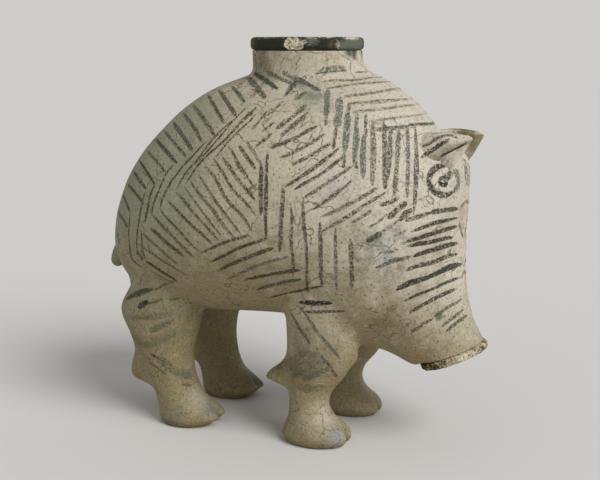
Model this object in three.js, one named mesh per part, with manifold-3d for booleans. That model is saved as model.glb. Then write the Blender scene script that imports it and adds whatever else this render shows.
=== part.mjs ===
// A boar-shaped ceramic vessel with a short collared mouth on its back.
// It is hand-built clay: thin hollow walls and solid limbs that were shaped apart and luted
// together before firing. Each of those pieces is a mesh here, with the slip layer as a gap.
// Millimetres, +Z up, +X towards the snout, +Y to the boar's left; the soles stand on z = 0.
import * as THREE from 'three';
import { mergeVertices } from 'three/addons/utils/BufferGeometryUtils.js';
import Module from 'manifold-3d';

const wasm = await Module();
wasm.setup();

// Clay and its joints
const wallThickness = 5;
const slipGap = 0.3;
const lapLength = 4;

// The hollow body. Each station is one cross-section, from the rump to the open end of the
// snout: the back's x and z, the belly's x and z, and half the width. z counts from the belly.
const bellyHeight = 40;
const bodyStations = [
  [-65.0, 25.0, -65.0, 25.0, 0.0],
  [-64.0, 38.5, -61.5, 13.5, 16.5],
  [-58.0, 53.5, -54.0, 6.5, 27.5],
  [-47.5, 68.2, -43.5, 2.5, 35.5],
  [-32.0, 81.2, -29.5, 1.6, 40.0],
  [-11.0, 90.3, -11.5, 2.0, 41.5],
  [11.0, 93.2, 6.0, 2.4, 40.5],
  [31.0, 90.8, 21.0, -1.0, 37.5],
  [47.0, 82.0, 31.0, -5.4, 33.0],
  [58.5, 69.5, 37.5, -6.8, 28.5],
  [66.6, 58.5, 42.0, -8.2, 24.0],
  [66.7, 38.0, 46.0, -9.8, 19.5],
  [67.9, 21.0, 49.5, -11.4, 15.6],
  [70.6, 7.6, 52.0, -11.6, 13.2],
  [74.6, -1.3, 53.8, -9.7, 13.2],
];
const widestShare = 0.47;
const lastStation = bodyStations.length - 1;
const backHeight = bellyHeight + Math.max(...bodyStations.map((station) => station[1]));

// Where the wall was joined. The shares count along the body's stations.
const seamHeight = 78;
const headSeamShare = 0.571;
const cavityEndShare = 0.886;
const headSeam = headSeamShare * lastStation;
const cavityEnd = cavityEndShare * lastStation;

// Mouth. The collar's fillet onto the back is wider towards the snout than towards the rump.
const mouthX = 8.5;
const mouthRadius = 14.5;
const neckRadius = 19.6;
const neckFlare = 4.6;
const neckFlareTurn = 1.6;
const rimRadius = 20.3;
const rimHeight = 4.7;
const rimRounding = 1.2;
const neckHeight = 9.8;
const mouthHeight = backHeight + neckHeight;
const spigotRadius = (mouthRadius + neckRadius) / 2;

// Legs. Each station is one level: its height, then from the leg's own upright line the reach
// forwards and backwards and half the width. A leg's fillet is wider at its sides.
const frontLegX = 18.5;
const rearLegX = -33;
const legSpread = 17.5;
const frontLegStations = [
  [0, 12.4, 10.0, 8.6],
  [2.4, 14.0, 11.8, 9.6],
  [5.5, 13.0, 10.8, 9.4],
  [9.5, 7.8, 9.3, 8.2],
  [14, 5.8, 8.9, 7.2],
  [19, 7.2, 9.1, 7.3],
  [24, 11.1, 9.2, 8.6],
  [29, 14.0, 9.3, 9.6],
  [36, 16.0, 9.5, 10.4],
  [44, 16.2, 9.8, 11.2],
];
const rearLegStations = [
  [0, 10.0, 10.0, 8.6],
  [2.4, 13.0, 11.0, 9.6],
  [4.4, 14.8, 11.4, 9.5],
  [8, 10.2, 11.9, 9.0],
  [11, 6.4, 12.6, 8.6],
  [17, 3.5, 15.1, 8.4],
  [24, 2.4, 18.1, 9.0],
  [32, 2.7, 22.3, 10.6],
  [39, 4.2, 26.2, 12.2],
  [47, 5.0, 21.6, 13.0],
];
const frontSpur = { height: 21.6, reach: 9.1, above: 6.2, below: 1.9 };
const rearSpur = { height: 15.0, reach: 9.3, above: 10.2, below: 1.7 };
const spurSharpness = 8;
const frontLegFlare = 4.2;
const rearLegFlare = 2.6;
const legSideFlare = 4;
const cleftDepth = 4;
const cleftWidth = 2.4;
const cleftHeight = 7;
const footRows = [0, 0.5, 1, 2, 2.5, 3];

// Ears. Each is a leaf that grows from the brow, and its width, thickness and camber shrink
// together towards the tip. The lean is how far it lies towards the middle, as a share of its width.
const earShare = 0.643;
const earAround = 23;
const earLength = 14.2;
const earWidth = 5.4;
const earLean = 0.15;
const earThickness = 4.4;
const earCamber = 3.2;
const earDirection = new THREE.Vector3(0.936, -0.194, 0.24);
const earTipShare = 0.24;
const earPoint = 1.6;

// Snout disc, as steps of its turned edge: how far forwards, and how far past the snout.
const discThickness = 2.6;
const discOverhang = 1;
const discRounding = 0.7;

// Tail, a tapered lump that leaves the rump's tip and curls down
const tailRadius = 4.4;
const tailReach = 8.4;
const tailDrop = 12;
const tailTipShare = 0.6;

// Facets
const ringSides = 36;
const ringsPerStation = 2;
const limbSides = 20;
const turnedSides = 40;
const cleftSides = 8;
const roundingSteps = 3;
const filletSteps = 3;
const thighRings = 4;
const leafRings = 6;
const tailRings = 5;

// Construction
const reach = 400;
const filletShare = 0.62;
const sunk = 4;
const probe = 0.01;
const tiny = 1e-3;

// A solid from a closed triangle mesh. three.js shapes repeat vertices at their seams, so these
// are merged first, with only the positions left to compare.
function solidOf(geometry) {
  const bare = geometry.clone();
  bare.deleteAttribute('normal');
  bare.deleteAttribute('uv');
  const merged = mergeVertices(bare);
  return new wasm.Manifold(new wasm.Mesh({
    numProp: 3,
    vertProperties: new Float32Array(merged.attributes.position.array),
    triVerts: new Uint32Array(merged.index.array),
  }));
}

// Six times the volume inside a triangle list, negative where the faces point inwards.
function signedVolume(points, faces) {
  let total = 0;
  for (let i = 0; i < faces.length; i += 3) {
    const [a, b, c] = [points[faces[i]], points[faces[i + 1]], points[faces[i + 2]]];
    total += a.dot(new THREE.Vector3().crossVectors(b, c));
  }
  return total;
}

// A closed mesh through rings of equal size. The first and last ring are single points.
function loft(rings) {
  const faces = [];
  let start = 0;
  for (let k = 1; k < rings.length; k++) {
    const before = rings[k - 1].length;
    const after = rings[k].length;
    const next = start + before;
    for (let i = 0; i < Math.max(before, after); i++) {
      const j = i + 1;
      if (before > 1) faces.push(start + i, start + (j % before), next + (i % after));
      if (after > 1) faces.push(start + (j % before), next + (j % after), next + i);
    }
    start = next;
  }
  const points = rings.flat();
  if (signedVolume(points, faces) < 0) faces.reverse();
  return new THREE.BufferGeometry().setFromPoints(points).setIndex(faces);
}

// A ring's middle, as the one-point ring that closes a loft with a flat end.
function middleOf(ring) {
  const sum = new THREE.Vector3();
  ring.forEach((point) => sum.add(point));
  return [sum.divideScalar(ring.length)];
}

// A loft whose first and last rings are closed flat.
function closedLoft(rings) {
  return loft([middleOf(rings[0]), ...rings, middleOf(rings.at(-1))]);
}

// A ring of points from a function of the angle.
function ringOf(sides, pointAt) {
  return Array.from({ length: sides }, (_, i) => pointAt((2 * Math.PI * i) / sides));
}

// A smooth curve through numbered rows, one value for each column, at a fractional row.
// The curve leaves the first row as if rowBefore stood ahead of it.
function along(rows, position, rowBefore = null) {
  const last = rows.length - 1;
  const first = rowBefore ?? rows[0].map((value, c) => 2 * value - rows[1][c]);
  const beyond = rows[last].map((value, c) => 2 * value - rows[last - 1][c]);
  const rowAt = (i) => (i < 0 ? first : i > last ? beyond : rows[i]);
  const row = Math.max(0, Math.min(Math.floor(position), last - 1));
  const t = position - row;
  return rows[0].map((_, c) => {
    const [a, b, d, e] = [-1, 0, 1, 2].map((step) => rowAt(row + step)[c]);
    return b + (t / 2) * (d - a + t * (2 * a - 5 * b + 4 * d - e + t * (3 * (b - d) + e - a)));
  });
}

// The row at which a rising first column reaches a value, by halving.
function rowWhere(rows, value) {
  let [low, high] = [0, rows.length - 1];
  while (high - low > tiny) {
    const mid = (low + high) / 2;
    if (along(rows, mid)[0] < value) low = mid;
    else high = mid;
  }
  return low;
}

// Seen past the rump's tip, the back and the belly change places, which rounds the tip off.
const pastTheTip = (() => {
  const [backX, backZ, bellyX, bellyZ, halfWidth] = bodyStations[1];
  return [bellyX, bellyZ, backX, backZ, -halfWidth];
})();

// A point of the body's outer skin. around is 0 on the back and runs over the boar's left side.
function skinPoint(station, around) {
  const [backX, backZ, bellyX, bellyZ, halfWidth] = along(bodyStations, station, pastTheTip);
  const rise = Math.cos(around);
  const share = rise > 0 ? widestShare + (1 - widestShare) * rise : widestShare * (1 + rise);
  return new THREE.Vector3(
    bellyX + (backX - bellyX) * share,
    halfWidth * Math.sin(around),
    bellyHeight + bellyZ + (backZ - bellyZ) * share,
  );
}

// The skin's outward direction, square to its two families of lines.
function skinNormal(station, around) {
  if (station < tiny) return new THREE.Vector3(-1, 0, 0);
  const forwards = skinPoint(station + probe, around).sub(skinPoint(station - probe, around));
  const round = skinPoint(station, around + probe).sub(skinPoint(station, around - probe));
  return forwards.cross(round).normalize();
}

function offsetSkin(station, around, offset) {
  return skinPoint(station, around).addScaledVector(skinNormal(station, around), offset);
}

// The body's shape grown or shrunk by an offset, up to a station, with a flat front end.
function skinGeometry(offset, endStation = lastStation, extraLength = 0) {
  const count = Math.round(endStation * ringsPerStation);
  const rings = [[offsetSkin(0, 0, offset)]];
  for (let k = 1; k <= count; k++) {
    const station = (endStation * k) / count;
    rings.push(ringOf(ringSides, (around) => offsetSkin(station, around, offset)));
  }
  if (extraLength) {
    const forwards = sectionFrame(endStation).forwards;
    rings.push(rings.at(-1).map((point) => point.clone().addScaledVector(forwards, extraLength)));
  }
  return loft([...rings, middleOf(rings.at(-1))]);
}

// The plane of a cross-section: its middle, its upward direction and its forward direction.
function sectionFrame(station) {
  const back = skinPoint(station, 0);
  const belly = skinPoint(station, Math.PI);
  const up = back.clone().sub(belly);
  const height = up.length();
  up.normalize();
  const forwards = new THREE.Vector3(0, 1, 0).cross(up);
  const middle = back.clone().add(belly).divideScalar(2);
  return { middle, up, forwards, height };
}

// Everything in front of a cross-section that has been moved forwards by a shift.
function inFrontOf(station, shift) {
  const { middle, up, forwards } = sectionFrame(station);
  const centre = middle.clone().addScaledVector(forwards, reach / 2 + shift);
  const place = new THREE.Matrix4()
    .makeBasis(forwards, new THREE.Vector3(0, 1, 0), up)
    .setPosition(centre);
  return solidOf(new THREE.BoxGeometry(reach, reach, reach).applyMatrix4(place));
}

function below(height) {
  return solidOf(new THREE.BoxGeometry(reach, reach, reach).translate(0, 0, height - reach / 2));
}

// An upright cylinder through the mouth's axis.
function mouthCylinder(radius, bottom, top) {
  const shape = new THREE.CylinderGeometry(radius, radius, top - bottom, turnedSides);
  return solidOf(shape.rotateX(Math.PI / 2).translate(mouthX, 0, (bottom + top) / 2));
}

const skin = solidOf(skinGeometry(0));
const skinWithGap = solidOf(skinGeometry(slipGap, lastStation, slipGap));
const cavity = solidOf(skinGeometry(-wallThickness, cavityEnd));

// The wall is joined from a lower bowl, an upper dome and a head. Each seam is a lap: the inner
// half of one wall reaches past the seam behind the outer half of the next.
function wallPieces() {
  const innerHalf = solidOf(skinGeometry(-wallThickness / 2 - slipGap / 2));
  const withinOuterHalf = solidOf(skinGeometry(-wallThickness / 2 + slipGap / 2));
  const wall = skin.subtract(cavity);
  const barrel = wall.subtract(inFrontOf(headSeam, -slipGap / 2))
    .add(wall.intersect(innerHalf).subtract(inFrontOf(headSeam, lapLength)));
  const head = wall.intersect(inFrontOf(headSeam, slipGap / 2))
    .subtract(withinOuterHalf.subtract(inFrontOf(headSeam, lapLength + slipGap)));
  const bowl = barrel.intersect(below(seamHeight - slipGap / 2))
    .add(barrel.intersect(innerHalf).intersect(below(seamHeight + lapLength)));
  const dome = barrel.subtract(below(seamHeight + slipGap / 2))
    .subtract(withinOuterHalf.intersect(below(seamHeight + lapLength + slipGap)))
    .subtract(mouthCylinder(spigotRadius + slipGap, bellyHeight, mouthHeight));
  return { bowl, dome, head };
}

const skinMesh = new THREE.Mesh(
  skinGeometry(0),
  new THREE.MeshBasicMaterial({ side: THREE.DoubleSide }),
);
skinMesh.updateMatrixWorld();

// The height of the skin at a place in plan, on the back (upwards 1) or the belly (upwards -1).
function skinHeight(x, y, upwards) {
  const from = new THREE.Vector3(x, y, upwards * reach);
  const ray = new THREE.Raycaster(from, new THREE.Vector3(0, 0, -upwards));
  const hits = ray.intersectObject(skinMesh);
  return hits.length ? hits[0].point.z : bellyHeight + bodyStations[0][1];
}

// A wall that meets the skin through a rounded fillet: rings from the wall's end along most of
// the fillet, then one that is sunk into the skin for the cut. The flare depends on the way out.
function filletRings(wall, flareTowards, upwards) {
  const centre = middleOf(wall)[0];
  const columns = wall.map((point) => {
    const outwards = point.clone().sub(centre).setZ(0).normalize();
    const flare = flareTowards(outwards);
    const end = point.clone().addScaledVector(outwards, flare);
    const control = new THREE.Vector3(point.x, point.y, skinHeight(point.x, point.y, upwards));
    end.z = skinHeight(end.x, end.y, upwards);
    const start = control.clone();
    start.z += upwards * flare;
    return new THREE.QuadraticBezierCurve3(start, control, end);
  });
  const rings = [];
  for (let k = 0; k <= filletSteps; k++) {
    rings.push(columns.map((column) => column.getPoint((filletShare * k) / filletSteps)));
  }
  const sunkRing = rings.at(-1).map((point, i) => {
    const under = columns[i].v2.z - upwards * sunk;
    return new THREE.Vector3(point.x, point.y, under);
  });
  return [...rings, sunkRing];
}

// The mouth's collar: a short tube with a fillet onto the back and a spigot through the wall.
function neckCollar() {
  const top = mouthHeight - rimHeight - slipGap;
  const wall = ringOf(turnedSides, (angle) => new THREE.Vector3(
    mouthX + neckRadius * Math.cos(angle),
    neckRadius * Math.sin(angle),
    top,
  ));
  const flareTowards = (outwards) => neckFlare + neckFlareTurn * outwards.x;
  const rings = [wall, ...filletRings(wall, flareTowards, 1)];
  const outside = solidOf(closedLoft(rings));
  const spigot = mouthCylinder(spigotRadius, bellyHeight, top - wallThickness);
  return outside.subtract(skinWithGap).add(spigot.subtract(cavity).subtract(below(seamHeight)))
    .subtract(mouthCylinder(mouthRadius, bellyHeight, mouthHeight));
}

// The thickened lip, turned as one ring with rounded edges and a flat land on top.
function rimLip() {
  const profile = new THREE.Shape();
  const [low, high] = [mouthHeight - rimHeight, mouthHeight];
  profile.moveTo(mouthRadius, low);
  profile.lineTo(neckRadius, low);
  profile.lineTo(rimRadius, low + rimRounding);
  profile.lineTo(rimRadius, high - rimRounding);
  profile.quadraticCurveTo(rimRadius, high, rimRadius - rimRounding, high);
  profile.lineTo(mouthRadius + rimRounding, high);
  profile.quadraticCurveTo(mouthRadius, high, mouthRadius, high - rimRounding);
  profile.closePath();
  const outline = profile.getPoints(roundingSteps);
  const turned = new THREE.LatheGeometry(outline, turnedSides);
  return solidOf(turned.rotateX(Math.PI / 2).translate(mouthX, 0, 0));
}

// One leg: levels from the sole up, a spur on its back edge, and a fillet onto the belly. The
// thigh's levels rise from level rings to the fillet's edge, which follows the belly.
function leg(x, y, stations, spur, flare) {
  const flareTowards = (outwards) => flare + legSideFlare * outwards.y ** 2;
  const wallPoint = (row, angle) => {
    const [height, front, back, halfWidth] = along(stations, row);
    const forwards = Math.cos(angle);
    const above = (height - spur.height) / (height > spur.height ? spur.above : spur.below);
    const point = spur.reach * Math.exp(-above * above) * Math.max(0, -forwards) ** spurSharpness;
    return new THREE.Vector3(
      x + (front - back) / 2 + ((front + back) / 2) * forwards - point,
      y + halfWidth * Math.sin(angle),
      height,
    );
  };
  const ringAt = (row) => ringOf(limbSides, (angle) => wallPoint(row, angle));
  const rowAt = (height) => rowWhere(stations, height);
  const lastRow = stations.length - 1;
  const fillet = filletRings(ringAt(lastRow), flareTowards, -1);
  const thighHeight = spur.height + spur.above;
  const thighRow = rowAt(thighHeight);
  const rings = footRows.map(ringAt);
  const ankleRow = rowAt(spur.height - 2 * spur.below);
  const shinRow = footRows.at(-1);
  rings.push(ringAt((shinRow + ankleRow) / 2), ringAt(ankleRow));
  const spurLevels = [-spur.below, 0, spur.above / 3, spur.above * 2 / 3, spur.above];
  spurLevels.forEach((level) => rings.push(ringAt(rowAt(spur.height + level))));
  for (let k = 1; k < thighRings; k++) {
    const share = k / thighRings;
    const ring = ringAt(THREE.MathUtils.lerp(thighRow, lastRow, share));
    ring.forEach((point, i) => {
      point.z = THREE.MathUtils.lerp(thighHeight, fillet[0][i].z, share);
    });
    rings.push(ring);
  }
  rings.push(...fillet);
  const cleft = new THREE.CylinderGeometry(cleftWidth / 2, cleftWidth / 2, 2 * cleftHeight, cleftSides);
  cleft.rotateX(Math.PI / 2).scale(2 * cleftDepth / cleftWidth, 1, 1);
  cleft.translate(x + stations[1][1], y, 0);
  return solidOf(closedLoft(rings)).subtract(skinWithGap).subtract(solidOf(cleft));
}

// One ear, a pinched leaf of clay: cambered cross-sections along its direction.
function ear(side) {
  const around = side * THREE.MathUtils.degToRad(earAround);
  const root = skinPoint(earShare * lastStation, around);
  const outwards = skinNormal(earShare * lastStation, around);
  const forwards = earDirection.clone().setY(side * earDirection.y).normalize();
  const across = new THREE.Vector3().crossVectors(outwards, forwards).normalize();
  const over = new THREE.Vector3().crossVectors(forwards, across).normalize();
  const rings = [];
  for (let k = 0; k <= leafRings; k++) {
    const share = k / leafRings;
    const taper = 1 - (1 - earTipShare) * share ** earPoint;
    const centre = root.clone().addScaledVector(forwards, THREE.MathUtils.lerp(-sunk, earLength, share));
    rings.push(ringOf(limbSides, (angle) => {
      const lateral = Math.cos(angle);
      const lift = earCamber * (1 - lateral * lateral) + (earThickness / 2) * Math.sin(angle);
      return centre.clone()
        .addScaledVector(across, earWidth * taper * (lateral - side * earLean))
        .addScaledVector(over, taper * lift);
    }));
  }
  return solidOf(closedLoft(rings)).subtract(skinWithGap);
}

// The flat disc that ends the snout, square to the head's last cross-section.
function snoutDisc() {
  const { middle, up, forwards, height } = sectionFrame(lastStation);
  const halfWidth = bodyStations[lastStation][4];
  const levels = [
    [slipGap, 0],
    [slipGap + discRounding, discOverhang],
    [slipGap + discThickness - discRounding, discOverhang],
    [slipGap + discThickness, discOverhang - discRounding],
  ];
  const rings = levels.map(([forth, past]) => ringOf(ringSides, (angle) => middle.clone()
    .addScaledVector(forwards, forth)
    .addScaledVector(up, (height / 2 + past) * Math.cos(angle))
    .addScaledVector(new THREE.Vector3(0, 1, 0), (halfWidth + past) * Math.sin(angle))));
  return solidOf(closedLoft(rings));
}

// The short tail: its rings turn from upright to level along a quarter of an ellipse.
function tail() {
  const tip = skinPoint(0, 0);
  const sideways = new THREE.Vector3(0, 1, 0);
  const rings = [];
  for (let k = 0; k < tailRings; k++) {
    const share = k / (tailRings - 1);
    const turn = (share * Math.PI) / 2;
    const radius = tailRadius * THREE.MathUtils.lerp(1, tailTipShare, share);
    const outwards = new THREE.Vector3(-Math.sin(turn), 0, Math.cos(turn));
    const centre = new THREE.Vector3(
      tip.x + sunk - (sunk + tailReach) * Math.sin(turn),
      tip.y,
      tip.z - tailDrop * (1 - Math.cos(turn)),
    );
    rings.push(ringOf(limbSides, (angle) => centre.clone()
      .addScaledVector(outwards, radius * Math.cos(angle))
      .addScaledVector(sideways, radius * Math.sin(angle))));
  }
  return solidOf(closedLoft(rings)).subtract(skinWithGap);
}

const clay = new THREE.MeshStandardMaterial({ color: 0xcfc3a2, roughness: 0.9, metalness: 0 });
const umber = new THREE.MeshStandardMaterial({ color: 0x454a3c, roughness: 0.85, metalness: 0 });
const wornClay = new THREE.MeshStandardMaterial({ color: 0x8d7a58, roughness: 0.95, metalness: 0 });

function pieceOf(name, solid, material) {
  const { numProp, vertProperties, triVerts } = solid.getMesh();
  const geometry = new THREE.BufferGeometry();
  const positions = new THREE.InterleavedBuffer(vertProperties, numProp);
  geometry.setAttribute('position', new THREE.InterleavedBufferAttribute(positions, 3, 0));
  geometry.setIndex(new THREE.BufferAttribute(triVerts, 1));
  const mesh = new THREE.Mesh(geometry, material);
  mesh.name = name;
  return mesh;
}

const firedClay = new THREE.Group();
const { bowl, dome, head } = wallPieces();
firedClay.add(
  pieceOf('body_bowl', bowl, clay),
  pieceOf('body_dome', dome, clay),
  pieceOf('head_shell', head, clay),
  pieceOf('neck_collar', neckCollar(), clay),
  pieceOf('rim_lip', rimLip(), umber),
  pieceOf('snout_disc', snoutDisc(), wornClay),
  pieceOf('tail', tail(), clay),
);
for (const [sideName, side] of [['left', 1], ['right', -1]]) {
  const y = side * legSpread;
  const frontLeg = leg(frontLegX, y, frontLegStations, frontSpur, frontLegFlare);
  const rearLeg = leg(rearLegX, y, rearLegStations, rearSpur, rearLegFlare);
  firedClay.add(
    pieceOf(`front_${sideName}_leg`, frontLeg, clay),
    pieceOf(`rear_${sideName}_leg`, rearLeg, clay),
    pieceOf(`${sideName}_ear`, ear(side), clay),
  );
}

// The vessel's origin lies on the ground under the middle of its length.
const extent = new THREE.Box3().setFromObject(firedClay);
firedClay.position.x = -(extent.min.x + extent.max.x) / 2;
const boarVessel = new THREE.Group();
boarVessel.add(firedClay);

export default boarVessel;
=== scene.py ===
import math

import bpy
import numpy as np
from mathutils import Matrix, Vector


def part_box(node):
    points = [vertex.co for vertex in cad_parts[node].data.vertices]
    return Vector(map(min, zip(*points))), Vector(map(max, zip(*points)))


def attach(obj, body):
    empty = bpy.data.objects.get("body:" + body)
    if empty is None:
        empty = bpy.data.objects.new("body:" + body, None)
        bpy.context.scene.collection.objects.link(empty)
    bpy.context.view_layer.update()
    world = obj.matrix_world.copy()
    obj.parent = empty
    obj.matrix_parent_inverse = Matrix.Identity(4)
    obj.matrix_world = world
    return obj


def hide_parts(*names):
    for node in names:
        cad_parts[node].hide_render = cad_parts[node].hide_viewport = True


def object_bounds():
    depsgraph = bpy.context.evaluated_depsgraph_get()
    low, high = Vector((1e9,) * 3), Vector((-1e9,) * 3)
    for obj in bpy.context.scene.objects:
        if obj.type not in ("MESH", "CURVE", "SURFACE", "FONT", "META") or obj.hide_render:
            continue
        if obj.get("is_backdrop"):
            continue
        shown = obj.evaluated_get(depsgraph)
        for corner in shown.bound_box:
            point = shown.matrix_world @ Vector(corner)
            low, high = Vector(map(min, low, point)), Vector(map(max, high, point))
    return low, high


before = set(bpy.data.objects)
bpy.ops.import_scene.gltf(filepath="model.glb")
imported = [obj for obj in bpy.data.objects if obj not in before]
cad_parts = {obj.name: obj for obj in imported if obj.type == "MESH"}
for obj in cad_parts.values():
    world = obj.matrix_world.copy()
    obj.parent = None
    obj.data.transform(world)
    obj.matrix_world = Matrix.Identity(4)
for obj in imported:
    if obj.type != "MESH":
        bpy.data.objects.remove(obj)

# A boar-shaped vessel of fired clay, shaped by hand and painted with rows of dark strokes.
# Shapes are worked out in millimetres: +X is towards the snout, +Y is the boar's left side.
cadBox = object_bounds()
metresPerMm = 0.001
nearSide = -1            # the boar's right side, which faces the camera
farSide = 1

# The mouth: the bore's, the neck's and the rim's outer radius, and the heights of its parts
mouth = {
    "x": 8.5,
    "bore": 14.5,
    "neck": 19.6,
    "flare": 4.6,         # the fillet's reach at the sides
    "flareTurn": 1.6,     # how much wider it is towards the snout and narrower towards the rump
    "rim": 20.3,
    "rimHeight": 4.7,
    "top": 143.0,
    "spigotDrop": 2.5,    # how far below the skin the tube narrows to its spigot
    "tubeRings": 14,
    "filletRings": 22,
    "boreShares": (0.25, 0.5, 0.75, 1.0),
    "sides": 144,
}

# The frame's origin is under the middle of the whole vessel, a little beside the shapes' own
lipLow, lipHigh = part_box("rim_lip")
shiftX = (lipLow.x + lipHigh.x) / 2 / metresPerMm - mouth["x"]

camera = {
    "place": (154.3 + shiftX, -350.0, 142.0),
    "turn": 23.0,        # degrees from +Y towards -X
    "tip": 10.8,         # degrees downwards
    "focal": 1050.0,     # in pixels of the image
    "image": (600, 480),
    "sensor": 36.0,
}


# The camera's forward, right and upward directions
def cameraAxes():
    turn, tip = math.radians(camera["turn"]), math.radians(camera["tip"])
    level = np.array([-math.sin(turn), math.cos(turn), 0.0])
    forward = level * math.cos(tip) + np.array([0.0, 0.0, -math.sin(tip)])
    right = np.array([math.cos(turn), math.sin(turn), 0.0])
    return forward, right, np.cross(right, forward)


# Where points fall in the image: their place across and up, divided by how far ahead they are
def inImage(points):
    forward, right, up = cameraAxes()
    away = points - np.array(camera["place"])
    ahead = away @ forward
    across = camera["image"][0] / 2 + camera["focal"] * (away @ right) / ahead
    down = camera["image"][1] / 2 - camera["focal"] * (away @ up) / ahead
    return np.stack([across, down], -1)


# How squarely a surface faces the camera, from 1 (straight on) to -1
def facesCamera(points, outwards):
    towards = np.array(camera["place"]) - points
    return (towards * outwards).sum(-1) / np.linalg.norm(towards, axis=-1)


def makeCamera():
    lens = bpy.data.cameras.new("camera")
    lens.sensor_width = camera["sensor"]
    lens.lens = camera["focal"] * camera["sensor"] / camera["image"][0]
    view = bpy.data.objects.new("camera", lens)
    view.location = [value * metresPerMm for value in camera["place"]]
    view.rotation_euler = (math.radians(90 - camera["tip"]), 0, math.radians(camera["turn"]))
    bpy.context.scene.collection.objects.link(view)
    bpy.context.scene.camera = view


makeCamera()
print("camera placed")


# A Catmull-Rom curve through numbered rows, read at fractional rows. The rows go on straight past
# the ends, unless the row before the first is given.
def along(rows, position, rowBefore=None):
    rows = np.asarray(rows, float)
    position = np.asarray(position, float)
    first = 2 * rows[0] - rows[1] if rowBefore is None else np.asarray(rowBefore)
    padded = np.vstack([first, rows, 2 * rows[-1] - rows[-2]])
    row = np.clip(np.floor(position).astype(int), 0, len(rows) - 2)
    t = (position - row)[..., None]
    a, b, c, d = (padded[row + step] for step in range(4))
    return b + t / 2 * (c - a + t * (2 * a - 5 * b + 4 * c - d + t * (3 * (b - c) + d - a)))


def blend(low, high, share):
    return low + (high - low) * share


# 0 below low, 1 above high, and an even S-curve between them
def easeIn(value, low, high):
    share = np.clip((value - low) / (high - low), 0, 1)
    return share * share * (3 - 2 * share)


# How a width shrinks to a round end: 1 up to a share of the length, and then a quarter circle
def roundedEnd(share, start):
    past = np.clip((share - start) / (1 - start), 0, 1)
    return np.sqrt(np.maximum(1e-6, 1 - past ** 2))


def unit(vectors):
    return vectors / np.linalg.norm(vectors, axis=-1, keepdims=True)


hand = {
    "slow": 0.34,
    "slowWaves": (9.5, 17.0, 11.5, 21.0),    # each is a wave's length divided by two pi
    "slowStarts": (1.3, 0.4),
    "slowBend": 0.7,
    "fine": 0.07,
    "fineWaves": (3.4, 5.7, 4.1, 4.9),
    "fineStart": 1.1,
}
browRidge = {"at": (63.5, 6.5, 101.5), "reach": 5.5, "height": 1.7}    # under each ear


# How far the hand-shaped clay stands out: slow waves a few centimetres long, with small ones on
# top, and the ridge under each ear
def unevenness(points):
    x, y, z = points[..., 0], points[..., 1], points[..., 2]
    slowX, bendZ, slowZ, slowY = hand["slowWaves"]
    fineX, fineZ, crossZ, crossY = hand["fineWaves"]
    startX, startZ = hand["slowStarts"]
    slow = np.sin(x / slowX + startX + hand["slowBend"] * np.sin(z / bendZ))
    slow = slow * np.sin(z / slowZ + y / slowY + startZ)
    fine = np.sin(x / fineX + z / fineZ) * np.sin(z / crossZ - y / crossY + hand["fineStart"])
    ridgeX, ridgeY, ridgeZ = browRidge["at"]
    away = (x - ridgeX) ** 2 + (np.abs(y) - ridgeY) ** 2 + (z - ridgeZ) ** 2
    ridge = browRidge["height"] * np.exp(-away / browRidge["reach"] ** 2)
    return hand["slow"] * slow + hand["fine"] * fine + ridge


# The two directions along a surface at a place on it, by central differences
def slopes(shape, u, v, side, step=0.004):
    alongU = (shape(u + step, v, side) - shape(u - step, v, side)) / (2 * step)
    alongV = (shape(u, v + step, side) - shape(u, v - step, side)) / (2 * step)
    return alongU, alongV


# A surface is a dictionary: its shape as a function of (u, v, side), the range of u and v, and
# whether u turned to v points out of the clay (1) or into it (-1) on the boar's left side.
def outwardsOf(surface, u, v, side):
    alongU, alongV = slopes(surface["shape"], u, v, side)
    return unit(np.cross(alongU, alongV)) * surface["turn"] * side


# The u and v at which a surface's picture falls on each target. It starts from the nearest point
# of a coarse grid that the viewer sees, and then takes Newton steps.
def findOn(surface, targets, picture, seen, side=nearSide):
    gridSize, newtonSteps, longestStep, small, inView = (72, 96), 9, 0.25, 1e-4, 0.02
    flat = np.asarray(targets, float).reshape(-1, 2)
    shape = surface["shape"]
    u, v = (axis.ravel() for axis in np.meshgrid(
        np.linspace(*surface["uRange"], gridSize[0]),
        np.linspace(*surface["vRange"], gridSize[1]), indexing="ij"))
    points = shape(u, v, side)
    shown = seen(points, outwardsOf(surface, u, v, side)) > inView
    u, v, pictured = u[shown], v[shown], picture(points[shown])
    nearest = ((flat[:, None] - pictured[None]) ** 2).sum(-1).argmin(1)
    u, v = u[nearest], v[nearest]
    for _ in range(newtonSteps):
        here = picture(shape(u, v, side))
        byU = (picture(shape(u + small, v, side)) - here) / small
        byV = (picture(shape(u, v + small, side)) - here) / small
        miss = flat - here
        area = byU[:, 0] * byV[:, 1] - byU[:, 1] * byV[:, 0]
        area = np.where(np.abs(area) < small, small, area)
        stepU = (miss[:, 0] * byV[:, 1] - miss[:, 1] * byV[:, 0]) / area
        stepV = (byU[:, 0] * miss[:, 1] - byU[:, 1] * miss[:, 0]) / area
        u = np.clip(u + np.clip(stepU, -longestStep, longestStep), *surface["uRange"])
        v = v + np.clip(stepV, -longestStep, longestStep)
    shaped = np.asarray(targets).shape[:-1]
    return u.reshape(shaped), v.reshape(shaped)


# How much u and v change for each millimetre along a surface, in a direction that lies flat on it
def perMillimetre(surface, u, v, direction, side):
    alongU, alongV = slopes(surface["shape"], u, v, side)
    uu, uv, vv = ((p * q).sum(-1) for p, q in
                  ((alongU, alongU), (alongU, alongV), (alongV, alongV)))
    wantU, wantV = (alongU * direction).sum(-1), (alongV * direction).sum(-1)
    area = uu * vv - uv * uv
    return (wantU * vv - wantV * uv) / area, (uu * wantV - uv * wantU) / area


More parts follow.
